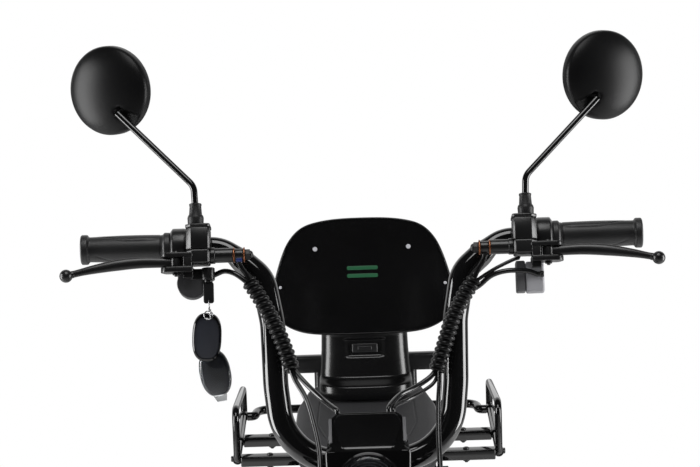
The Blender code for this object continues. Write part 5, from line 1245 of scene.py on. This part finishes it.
def drilled_ring(inner, outer, thick, cells, hole_r, shift=0.0):
    """A flat ring made of cells, each with a round hole.

    A cell's outer edge is a square in (angle, radius), its inner edge the circle; even and odd cells
    carry their holes shift outwards and inwards. Flat points are complex numbers here.
    """
    side, one = np.linspace(-1, 1, 9)[:-1], np.ones(8)
    u, v = np.concatenate([side, one, -side, -one]), np.concatenate([-one, side, one, -side])
    middle, half = (inner + outer) / 2, np.pi / cells
    circle = hole_r * (v + 1j * u) / np.hypot(u, v)
    parts = []
    for k in range(cells):
        spin = (2 * k + 1) * half
        edge = (middle + v * (outer - inner) / 2) * np.exp(1j * (spin + u * half))
        hole = (middle + shift * (-1) ** k + circle) * np.exp(1j * spin)
        rows = [(edge, 0.5), (hole, 0.5), (hole, -0.5), (edge, -0.5)]
        parts.append(
            shell(
                np.stack([level(np.column_stack([p.real, p.imag]), thick * h) for p, h in rows]),
                capped=False,
            )
        )
    for r in (inner, outer):
        parts.append(
            shell(np.stack([ring_of(r, angles(8 * cells), thick * h) for h in (-0.5, 0.5)]), capped=False)
        )
    return together(*parts)


def disc(bore):
    """A brake disc: a drilled ring on six curved arms round its centre."""
    parts = [
        drilled_ring(58, DISC_R, 2, 24, 2.7, 4.5),
        turned([(bore, -1), (31.5, -1), (31.5, 1), (bore, 1)], 72, hollow=True),
    ]
    t = np.linspace(0, 1, 12)
    for start in angles(6):
        path = ring_of(30 + 29.5 * t, 0.45 * t**1.4 + start, 0)
        verts, faces = carried(path, 5.2 - 1.6 * np.sin(np.pi * t), 16, (0, 0, 1), power=6)
        verts[:, 2] = np.clip(verts[:, 2], -0.9, 0.9)
        parts.append((verts, faces))
    return together(*parts)


def bolt_circle(count, x, ring_r, radius, height):
    """Screws evenly spaced round the X axis, which face out to the side they are on."""
    return [screw((x, ring_r * math.cos(a), ring_r * math.sin(a)), (x, 0, 0), radius, height)
            for a in angles(count) + math.pi / count]


def wheels():
    """Both wheels with tyres, discs, bolts, valve, motor and sprocket."""
    front_hub = [
        (9.5, -50), (18, -50), (20, -30), (33, -24), (33, 24), (22, 30), (22, 45), (18, 45), (18, 50),
        (9.5, 50),
    ]
    rear_hub = [(7.5, -55.5), (16, -55.5), (16, -50), (23.5, -48.5), (30, -40), (86, -35), (92, -28),
                (92, 28), (86, 35), (30, 40), (26, 46), (17.5, 46), (17.5, 54), (7.5, 54)]
    rubber = tyre()
    valve = together(rod((0, 0, 133.5), (0, 0, 106), 3, 16), rod((0, 0, 115), (0, 0, 104), 4, 16, 1))
    covers = bolt_circle(8, 34.9, 78, 3.4, 1.8) + bolt_circle(8, -34.9, 78, 3.4, 1.8)
    sets = (
        ("front", FRONT_AXLE, front_hub, 33, 46.2, 18.2, []),
        ("rear", REAR_AXLE, rear_hub, 92, 51, 17.7, covers),
    )
    for word, axle, hub, hub_r, disc_x, bore, more in sets:
        body, place = f"{word}_wheel", move(*axle)
        piece(f"{word}_tread", rubber, TYRE, body, f"{word}_tyre", place=place, smooth=45)
        piece(f"{word}_casting", cast_wheel(hub, hub_r), ALLOY, body, f"{word}_wheel", place=place)
        plate = along_x(disc(bore), (disc_x, 0, 0))
        piece(f"{word}_brake_disc", plate, DISC_FINISH[word], body, f"{word}_disc", place=place)
        bolts = bolt_circle(6, disc_x + 0.8, 26.2, 3.6, 2.2) + more
        piece(f"{word}_hub_bolts", together(*bolts), BRIGHT, body, place=place)
        piece(f"{word}_valve", valve, HOSE, body, place=place @ turn("X", 180 / SPOKES), slot="tyre_rubber")
    teeth = along_x(sprocket(17, SPROCKET_R, 24, 2.8), (-CHAIN_X, 0, 0))
    piece("rear_sprocket", teeth, DARK_STEEL, "rear_wheel", place=move(*REAR_AXLE))


def sprocket(count, pitch_r, bore, thick):
    """A toothed plate: its rim radius is the pitch radius less 4.2 mm plus 5.2 mm |cos(n a / 2)|^1.4."""
    a = angles(count * 14)
    rim = pitch_r - 4.2 + 5.2 * np.abs(np.cos(count * a / 2)) ** 1.4
    rows = [(bore, -0.5), (rim - 1.4, -0.5), (rim, -0.22), (rim, 0.22), (rim - 1.4, 0.5), (bore, 0.5)]
    return shell(np.stack([ring_of(r, a, thick * h) for r, h in rows]), ring=True)


# ---- drive --------------------------------------------------------------------------------


def drive_loop():
    """The chain's pitch line in (behind, up): two tangents joined by the arcs round ring and sprocket."""
    a, b = np.array(CRANK_AXLE[1:]), np.array(REAR_AXLE[1:])
    span, heading = np.linalg.norm(b - a), math.atan2(*(b - a)[::-1])
    lean = math.acos((RING_R - SPROCKET_R) / span)
    run, first = span * math.sin(lean), RING_R * 2 * (math.pi - lean)
    second, third = first + run, first + run + SPROCKET_R * 2 * lean
    links = 2 * round((third + run) / CHAIN_PITCH / 2)
    d = np.arange(links) * (third + run) / links

    def at(centre, radius, angle, along=0.0):
        """A point round a centre, or past it along the tangent there."""
        c, s = np.cos(angle), np.sin(angle)
        return centre + np.stack([radius * c - along * s, radius * s + along * c], axis=-1)

    runs = [at(a, RING_R, heading + lean + d / RING_R), at(a, RING_R, heading - lean, d - first),
            at(b, SPROCKET_R, heading - lean + (d - second) / SPROCKET_R)]
    last = at(b, SPROCKET_R, heading + lean, d - third)
    return np.select([(d < end)[:, None] for end in (first, second, third)], runs, last)


def at_chain(outline, low, high):
    """An outline in (behind, up) given a thickness at the chain's line."""
    return shell(np.stack([np.insert(outline, 0, x - CHAIN_X, axis=1) for x in (low, high)]))


def chain_links():
    """Waisted link plates in pairs, inner and outer by turns, with a roller at every joint."""
    line = drive_loop()
    along = np.roll(line, -1, axis=0) - line
    across = unit(np.stack([-along[:, 1], along[:, 0]], axis=1))
    c, s = np.cos(angles(14)), np.sin(angles(14))
    u, v = 0.5 + 0.86 * signed(c, 0.8), s * (4.1 - 1.3 * np.exp(-((c / 0.35) ** 2)))
    drawn = line[:, None] + u[:, None] * along[:, None] + v[:, None] * across[:, None]
    parts = [at_chain(link, low, low + 1) for parity, lows in ((0, (-4, 3)), (1, (-2.9, 1.9)))
             for low in lows for link in drawn[parity::2]]
    pin = ring_of(3.4, angles(10), 0)[:, :2]
    return together(*parts, *[at_chain(centre + pin, -3.5, 3.5) for centre in line])


def crank_set():
    """Toothed chainring with windows, forged arms, axle ends and bolts, and the chain."""
    place = move(*CRANK_AXLE)
    boss = along_x(turned_ring([(9.2, -69), (20.5, -69), (21.5, -48), (9.2, -48)], 1, 48))
    parts = [boss, crossbar(78, 0, 0, 9, 32)]
    for s in (1, -1):
        arm = sideways(slab(strap((0, 0), 16, (-s * CRANK_R, 0), 10.5, 28), 65.5, 79.5, 3, steps=6))
        parts += [mirrored(arm, s), rod((s * 67.5, -s * CRANK_R, 0), (s * 173.5, -s * CRANK_R, 0), 6),
                  screw((s * 79.3, 0, 0), (s, 0, 0), 8.5, 3)]
    piece("crank_arms", together(*parts), ALLOY, "crank", "crank", place=place)
    ring = together(drilled_ring(20, 60.5, 3, 5, 12.5), sprocket(36, RING_R, 60, 3))
    piece("chainring", along_x(ring, (-CHAIN_X, 0, 0)), ALLOY, "crank", place=place)
    framed("chain_links", chain_links(), DARK_STEEL, "chain", smooth=40)


def pedals():
    """Pedals with studded treads round their sleeves, and amber reflectors."""
    sleeve = turned_ring(
        [(6.6, 0), (11.5, 0), (10.5, 12), (10.5, 78), (11.5, 90), (6.6, 90)], [1, 4, 4, 1], 36,
    )
    parts = [along_x(sleeve, (82.5, 0, 0))]
    for y in (36, -36):
        parts.append(box((86.5, y - 10, -11.5), (172.5, y + 10, 11.5), 3, 2))
        parts += [box((x - 2.2, y - 7.5, z), (x + 2.2, y + 7.5, z + 1.5), 1, 0.6)
                  for x in np.linspace(93, 166, 8) for z in (11.3, -12.8)]
    parts += [box((x, -30, -7), (x + 8, 30, 7)) for x in (88.5, 160.5)]
    glow = together(*[box((108, y, -6), (151, y + 1.7, 6), 1, 0.6) for y in (45.5, -47.2)])
    for word, s in SIDES:
        body, place = f"pedal_{word}", move(*CRANK_AXLE) @ move(0, -s * CRANK_R)
        piece(f"pedal_block_{word}", mirrored(together(*parts), s), SATIN, body, f"pedal_{word}", place=place)
        piece(f"pedal_reflector_{word}", mirrored(glow, s), AMBER, body, place=place)


# ---- frame --------------------------------------------------------------------------------

PIVOT = (240, 285)
SHOCK_TOP = (470, 567)
CROSS_TUBES = (187, 430, 690)
STAND_DROP = 176


def bead(centre, direction, radius, wire=1.6):
    """A weld bead: a wire ring whose thickness ripples along its run."""
    a, t = angles(96)[:, None], angles(10)
    size = wire * (1 + 0.18 * np.sin(24 * a))
    r = radius + size * np.cos(t)
    grid = np.stack([r * np.cos(a), r * np.sin(a), size * np.sin(t)], axis=-1)
    return placed(shell(grid, ring=True), move(*centre) @ facing(direction))


def main_frame():
    """Bent main tube, head tube, bracket shell, seat tube, pivot and stand lug, with weld beads."""
    start = STEER @ Vector((0, 0, -JOINT_DROP))
    route = bent([start, (0, -130, 318), (0, 50, 290), (0, *PIVOT)], [140, 100], 2)
    head = [
        (16, -189), (27.5, -189), (27.5, -173), (23.5, -169), (23.5, -51), (27.5, -47), (27.5, -31),
        (16, -31),
    ]
    parts = [carried(resampled(route, 120), 27.5, 40, (1, 0, 0)),
             placed(turned_ring(head, [1.2, 2, 2, 2, 2, 1.2], 56), STEER),
             along_x(bush(10.5, 22.5, -36.5, 36.5, 1.5, 48), CRANK_AXLE), crossbar(60.5, *PIVOT, 15, 40, 1),
             rod((0, 160, 290), (0, 187, 554.2), 16, 40, 1),
             sideways(slab(strap((235, 275), 22, (235, 185), 14, 28), -20, 20, 2)),
             bead((0, 160.5, 316.5), (0, 0.1, 1), 16.5), bead((0, 185.5, 553), (0, 0.1, 1), 16.3),
             bead(STEER @ Vector((0, 3, -126)), (0, 0.35, -1), 27)]
    parts += [bead((s * 27, *CRANK_AXLE[1:]), (1, 0, 0), 22.6, 1.4) for s in (1, -1)]
    framed("main_frame", together(*parts), GLOSS, "frame", smooth=40)


def rear_frame():
    """Rails with end plugs, cross tubes, battery tray and hangers, and the shock mounts."""
    parts, plugs = [], []
    for s in (1, -1):
        x = s * 75
        parts += [
            rod((x, 175, 567), (x, 790, 567), 12.5, 36, 1.2), rod((x, *SHOCK_TOP), (s * 125, *SHOCK_TOP), 6),
        ]
        plugs += [
            rod((x, 174.8, 567), (x, 179, 567), 10, 28, 0.8),
            nut((s * 121.2, *SHOCK_TOP), (s, 0, 0), 9.8, 3.6),
        ]
        for y in (222, 360):
            parts.append(rod((x, y, 567), (s * 68.5, y, 356), 6))
            plugs.append(screw((s * 73.5, y, 356), (s, 0, 0), 4.5, 2.6))
        parts += [bead((s * 64, y, 567), (1, 0, 0), 12.6, 1.2) for y in CROSS_TUBES]
    parts += [crossbar(75, y, 567, 12.5, 36, 1.2) for y in CROSS_TUBES]
    parts.append(box((-73.5, 210, 352), (73.5, 372, 360), 6, 1.6))
    framed("rear_rails", together(*parts), GLOSS, "subframe", smooth=40)
    framed("rail_plugs", together(*plugs), BRIGHT, slot="gloss_black")


def rounded_ends(z, radius):
    """How far a form draws in near the ends of its heights, as quarter circles."""
    t = np.clip(np.minimum(z - z[0], z[-1] - z), 0, radius)
    return radius * (1 - np.sqrt(1 - (1 - t / radius) ** 2))


def stacked(outline, insets, heights):
    """An outline drawn in by its own distance at each height."""
    return shell(np.stack([level(inset_of(outline, d), h) for d, h in zip(insets, heights)]))


def battery():
    """The battery case: rounded, with sunk bands round its sides, a handle, a lock and a socket cover."""
    z = np.linspace(360.3, 548, 150)
    grooves = 1.6 * sum(ramp(3 - np.abs(z - at), 0, 0.4) for at in (388, 404, 420, 505))
    case = stacked(rectangle(-59.5, 216.5, 59.5, 365.5, 12), rounded_ends(z, 6) + grooves, z)
    framed("battery_shell", case, MATT, "battery_case", smooth=40)
    fittings = [box((-36, 212.5, 456), (36, 217, 470), 3, 1.5), box((-40, 213.5, 448), (-32, 218, 478)),
                box((32, 213.5, 448), (40, 218, 478)), box((59, 275, 442), (61.2, 311, 474), 3)]
    framed("battery_fittings", together(*fittings), SATIN)
    slit = box((61.4, 339.4, 456), (62.2, 340.6, 464), 0.3, 0.2)
    framed("battery_lock", together(rod((58.5, 340, 460), (61.8, 340, 460), 7.5, 32, 0.8), slit), BRIGHT)


def mudguard(first, last):
    """A thin arched sheet round an axle: its section is swept between two angles, its edges rolled."""
    w, r = 45, 246
    u = np.linspace(-1, 1, 25)
    drop = 13 * np.abs(u) ** 5
    outer = np.column_stack([w * np.sin(u * np.pi / 2), r + 3 - drop])
    within = np.column_stack([(w - 2.6) * np.sin(u * np.pi / 2), r + 0.6 - drop])
    lip = np.array([(w, r - 11.2), (w - 1.2, r - 12.2), (w - 2.6, r - 11.2)])
    x, r = np.vstack([outer, lip, within[::-1], lip[::-1] * (-1, 1)]).T
    a = np.linspace(radians(first), radians(last), 90)[:, None]
    return shell(np.stack([x + 0 * a, r * np.sin(a), r * np.cos(a)], axis=-1))


def mudguards():
    """Rear guard with its hangers and front guard with its wire stays."""
    hangers = [box((s * 20 - 6, 684, 472), (s * 20 + 6, 696, 556)) for s in (1, -1)]
    rear = together(placed(mudguard(-58, 62), move(*REAR_AXLE)), *hangers)
    framed("rear_mudguard", rear, GLOSS, "rear_fender", smooth=50)
    back = math.sqrt(LOWER_R**2 - 14**2) + 2.8
    tip = (241 * math.sin(radians(70)), 241 * math.cos(radians(70)))
    parts = [mudguard(-45, 95)]
    for s in (1, -1):
        foot = Matrix.Rotation(-RAKE, 3, "X") @ Vector((s * 64, back, 30))
        parts += [rod(foot, (s * 44.5, *tip), 2.5, 16), screw((s * 44.8, *tip), (s, 0, 0), 4.5, 2.2)]
    steered("front_mudguard", together(*parts), GLOSS, "front_fender", place=move(*FRONT_AXLE), smooth=50)


def calipers():
    """Front caliper on its tongue and rear caliper on its bracket: ribbed halves with bolts."""
    body = [box((-11, -19, -14), (-3, 19, 12), 3, 2), box((3, -19, -14), (9, 19, 12), 3, 2),
            box((-10.5, -17.5, 9.5), (8.5, 17.5, 16), 3, 2)]
    body = together(*body, *[box((-11.8, y - 2.2, -10), (-10, y + 2.2, 10), 1, 0.6) for y in (-9, 0, 9)])
    bolts = together(*[screw((-11, y, 4.5), (-1, 0, 0), 3.2, 1.8) for y in (-14.5, 14.5)])
    lean = move(46.2, *CALIPER_SEAT) @ Matrix.Rotation(-CALIPER_LEAN, 4, "X")
    foot = (-FORK_OFFSET, CALIPER_SEAT[1] + 4)
    tongue = sideways(slab(strap(CALIPER_SEAT, 13, foot, 10), 50, 56.2, 1.2, steps=4))
    steered("front_caliper_body", together(placed(body, lean), tongue), ALLOY, "front_caliper")
    steered("front_caliper_bolts", placed(bolts, lean), BRIGHT)
    place = move(*REAR_AXLE) @ turn("X", 20)
    seat_place = place @ move(51, 0, DISC_R - 4)
    bracket = sideways(slab(strap((0, 0), 18, (0, DISC_R - 4), 16), 55.6, 60.6, 1, steps=4))
    framed(
        "rear_caliper_body", together(placed(body, seat_place), placed(bracket, place)), ALLOY,
        "rear_caliper",
    )
    framed("rear_caliper_bolts", placed(bolts, seat_place), BRIGHT)


def swing_and_shocks():
    """Swingarm with brace, axle and nuts, and the two coil-over shocks."""
    axle, (top_y, top_z) = tuple(REAR_AXLE[1:]), SHOCK_TOP
    y, brace_y = 545, 305
    z, brace_z = np.interp((y, brace_y), *zip(PIVOT, axle))
    parts, bolts = [], []
    for s in (1, -1):
        arm = sideways(slab(strap(PIVOT, 18, axle, 20, 32), 61, 79, 3, steps=6))
        parts += [mirrored(arm, s), rod((s * 65, y, z), (s * 125, y, z), 6)]
        bolts += [nut((s * 78.5, *axle), (s, 0, 0), 12, 8), nut((s * 121.2, y, z), (s, 0, 0), 9.8, 3.6),
                  screw((s * 78.8, *PIVOT), (s, 0, 0), 10, 3.2)]
    parts += [crossbar(65, brace_y, brace_z, 11, 32), crossbar(90, *axle, 7, 28)]
    framed("swing_arms", together(*parts), GLOSS, "swingarm", smooth=40)
    framed("swing_bolts", together(*bolts), BRIGHT)
    length = math.hypot(y - top_y, top_z - z)
    low, high = 50, length - 78
    profile = [(0, 0), (8, 0), (8, low - 6), (13, low - 6), (21.5, low - 3), (21.5, low + 3), (8.5, low + 3),
               (
                   8.5, high - 60,
               ), (14, high - 58), (14, high - 3), (21.5, high - 3), (21.5, high + 3), (16.5, high + 6),
               (16.5, length - 32), (8, length - 24), (8, length), (0, length)]
    damper = [turned(rounded(profile, [0.5] * 2 + [1] * 10 + [2] * 3), 48)]
    damper += [along_x(bush(6.2, 12.5, -9, 9, 1, 36), (0, 0, end)) for end in (0, length)]
    t = np.linspace(0, 1, 520)
    climb = low + 5.5 + (high - low - 11) * np.clip((t - 0.07) / 0.86, 0, 1) + 2.6 * (t - 0.5)
    coil = carried(ring_of(18.2, 15 * np.pi * t, climb), 2.9, 12, (0, 0, 1))
    for word, s in SIDES:
        place = move(s * 112, y, z) @ Matrix.Rotation(math.atan2(y - top_y, top_z - z), 4, "X")
        framed(f"damper_{word}", together(*damper), SATIN, f"shock_{word}", place=place, slot="bright_steel")
        framed(f"coil_{word}", coil, BRIGHT, place=place, smooth=180)


def tail_lamp():
    """Ribbed red lens, its dark housing and the stem under the carrier."""
    z = np.linspace(516.5, 558.5, 90)
    outline = outline_of([(-50, 792.5), (50, 792.5), (50, 814), (-50, 814)], [2, 2, 8, 8])
    ribs = 0.4 * (1 + np.cos((z - z[0]) * np.pi / 3))
    framed("tail_lens", stacked(outline, rounded_ends(z, 4) + ribs, z), RED_LENS, "tail_lamp")
    stem = box((-12, 682, 550.2), (12, 796, 554.2))
    housing = together(box((-51.5, 790.3, 515), (51.5, 797.5, 560), 2, 1.5), stem)
    framed("tail_housing", housing, SATIN, slot="red_lens")


def stand():
    """Splayed legs with their ears, brace and pin."""
    drop = STAND_DROP
    parts = [crossbar(31, 0, 0, 6, 28)]
    for s in (1, -1):
        ear = sideways(slab(strap((0, 0), 13, (-3, -drop * 0.12), 10), 20.5, 31.5, 1.2, steps=4))
        route = [(s * 30.5, 0, 0), (s * 42.5, -6.25, -drop / 4), (s * 120, -25, -drop), (s * 140, -25, -drop)]
        parts += [mirrored(ear, s), carried(resampled(bent(route, [30, 15]), 60), 9, 24),
                  ball((s * 140, -25, -drop), 8.9, 12, (0.35, 1, 1))]
    parts.append(crossbar(42.5 + (120 - 42.5) * 0.2 / 0.75, -25 * 0.45, -drop * 0.45, 6))
    piece("stand_legs", together(*parts), GLOSS, "stand", "centre_stand", place=move(0, 235, 185), smooth=40)


def fork():
    """Yokes with pinch bolts, stanchions with caps, lower legs with seals and clamps, axle and arch."""
    tops, y, foot = (-8, -190), -FORK_OFFSET, (-FORK_OFFSET, -FORK_LENGTH)
    left, right = (78, y), (-78, y)
    parts, caps = [], []
    for top in tops:
        parts += [slab(strap((0, 0), 30, leg, 26, 30), top - 22, top, 3, steps=6) for leg in (left, right)]
        parts.append(slab(strap(left, 25.5, right, 25.5, 30), top - 21.5, top - 0.5, 3, steps=6))
    stanchion = turned(rounded([(0, -430), (15, -430), (15, -4.5), (0, -4.5)], 1), 44)
    cap = turned(rounded([(0, -8), (13.5, -8), (13.5, -4.2), (10, -3.4), (0, -3.4)], [0.5, 0.8, 0.8]), 36)
    for s in (1, -1):
        parts.append(placed(stanchion, move(s * 78, y)))
        caps.append(placed(cap, move(s * 78, y)))
        caps += [screw((s * 72, y - 26.2, top - 11), (0, -1, 0), 4.6, 3) for top in tops]
    parts += [rod((0, 0, -205), (0, 0, -18), 15.8, 40),
              slab(rectangle(-22, -21.5, 22, 21.5, 4), -14, 39.5, 2),
              box((77, -79, -204), (87, -60, -188))]
    caps += [screw((sx * 14.5, sy * 14, 39), (0, 0, 1), 4.6, 3) for sx in (1, -1) for sy in (1, -1)]
    steered("fork_yokes", together(*parts), GLOSS, "fork_uppers", smooth=40)
    steered("fork_caps", together(*caps), BRIGHT)
    profile = [(0, -680), (16, -680), (21.5, -672), (21.5, -640), (20.5, -625), (20.5, -420),
               (21.5, -400), (21.5, -342),
               (24, -340), (24, -330), (15.6, -330)]
    leg = turned([*rounded(profile, [2, 4, 4, 6, 20, 20, 2, 1, 1.5]), (15.6, -332), (0, -332)], 56)
    parts, nuts = [], []
    for s in (1, -1):
        parts += [placed(leg, move(s * 78, y)), rod((s * 60.5, *foot), (s * 50.8, *foot), 13, 32, 1)]
        nuts += [nut((s * 96.5, *foot), (s, 0, 0), 12, 8), screw((s * 78, -63.2, -628), (0, -1, 0), 4, 2.6)]
    arch_y, arch_z = y - LOWER_R + 6, WHEEL_R - FORK_LENGTH + 40
    route = bent(both_sides([(78, arch_y, arch_z - 45), (60, arch_y, arch_z)]), 20)
    parts += [carried(resampled(route, 60), 8, 28), crossbar(70, *foot, 9, 32)]
    steered("fork_legs", together(*parts), ALLOY, "fork_lowers", smooth=40)
    steered("fork_nuts", together(*nuts), BRIGHT)


# ---- studio -------------------------------------------------------------------------------


def camera():
    """The camera of the photograph, turned so that the grips' middle falls on its own pixel."""
    target = STEER @ Vector((0, 0, GRIP_LEVEL)) * MM
    c, s = math.cos(CAMERA_DROP), math.sin(CAMERA_DROP)
    forward, right, up = Vector((0, c, -s)), Vector((1, 0, 0)), Vector((0, s, c))
    c, s = math.cos(CAMERA_ROLL), math.sin(CAMERA_ROLL)
    basis = Matrix((right * c - up * s, up * c + right * s, -forward)).transposed()
    seen = Vector((GRIP_PIXEL[0] - PHOTO_W / 2, PHOTO_H / 2 - GRIP_PIXEL[1], -FOCAL_PX)).normalized()
    aside = Vector((0, 0, -1)).rotation_difference(seen).to_matrix()
    data = bpy.data.cameras.new("camera")
    data.sensor_width = SENSOR
    data.lens = FOCAL_PX * SENSOR / PHOTO_W
    eye = shown("camera", data)
    eye.matrix_world = move(*(target - forward * CAMERA_DISTANCE)) @ (basis @ aside.inverted()).to_4x4()
    bpy.context.scene.camera = eye


def area_light(name, place, target, width, height, power):
    """One soft box aimed at a point."""
    data = bpy.data.lights.new(name, "AREA")
    data.shape = "RECTANGLE"
    data.size, data.size_y = width, height
    data.energy = power
    aim = (Vector(target) - Vector(place)).to_track_quat("-Z", "Y").to_matrix().to_4x4()
    shown(name, data).matrix_world = move(*place) @ aim


def studio():
    """White backdrop, dark room in front, a soft box on each side and one overhead, and a pale floor."""
    area_light("box_left", (-2.0, -0.35, 1.00), (0, -0.2, 0.85), 0.9, 1.8, 52)
    area_light("box_right", (2.0, -0.35, 0.92), (0, -0.2, 0.85), 0.9, 1.6, 46)
    area_light("box_top", (0.0, -0.8, 2.9), (0, 0.0, 0.7), 1.2, 1.2, 21)
    world = bpy.data.worlds.new("studio")
    bpy.context.scene.world = world
    world.use_nodes = True
    tree = world.node_tree
    ahead = add(tree, "SeparateXYZ", {"Vector": add(tree, "TexCoord", out="Generated")}, "Y")
    room = mapped(tree, ahead, 0.45, 0.85, 0.018, 1.0)
    diffuse = add(tree, "Mix", {0: add(tree, "LightPath", out="Is Diffuse Ray"), 2: room, 3: 0.42})
    seen = add(tree, "Mix", {0: add(tree, "LightPath", out="Is Camera Ray"), 2: diffuse, 3: 1.0})
    back = tree.nodes["Background"].inputs
    tree.links.new(seen, back["Strength"])
    back["Color"].default_value = (1, 1, 1, 1)
    mesh = bpy.data.meshes.new("floor")
    mesh.from_pydata([(-9, -9, 0), (9, -9, 0), (9, 9, 0), (-9, 9, 0)], [], [(0, 1, 2, 3)])
    ground = shown("floor", mesh)
    paper = bpy.data.materials.new("pale_floor")
    paper.use_nodes = True
    tree = paper.node_tree
    tree.nodes.remove(tree.nodes["Principled BSDF"])
    reach = add(tree, "VectorMath", {0: add(tree, "TexCoord", out="Object")}, "Value", operation="LENGTH")
    lit, plain = (add(tree, "BsdfDiffuse", {"Color": (v, v, v, 1)}) for v in (0.86, 0.60))
    glow = add(tree, "Emission", {"Color": (1, 1, 1, 1), "Strength": 1.0})
    outer = add(tree, "MixShader", {0: add(tree, "LightPath", out="Is Camera Ray"), 1: plain, 2: glow})
    blend = add(tree, "MixShader", {0: mapped(tree, reach, 1.3, 2.1), 1: lit, 2: outer})
    tree.links.new(blend, tree.nodes["Material Output"].inputs["Surface"])
    mesh.materials.append(paper)
    bpy.context.scene.view_settings.view_transform = "Standard"


for build in (handlebar, controls, control_housings, key_and_fobs, cables, seat, backrest, grab_bar,
              side_guards, carrier, headlight, wheels, crank_set, pedals, main_frame, rear_frame, battery,
              calipers, swing_and_shocks, tail_lamp, stand, fork, mudguards, camera, studio):
    build()
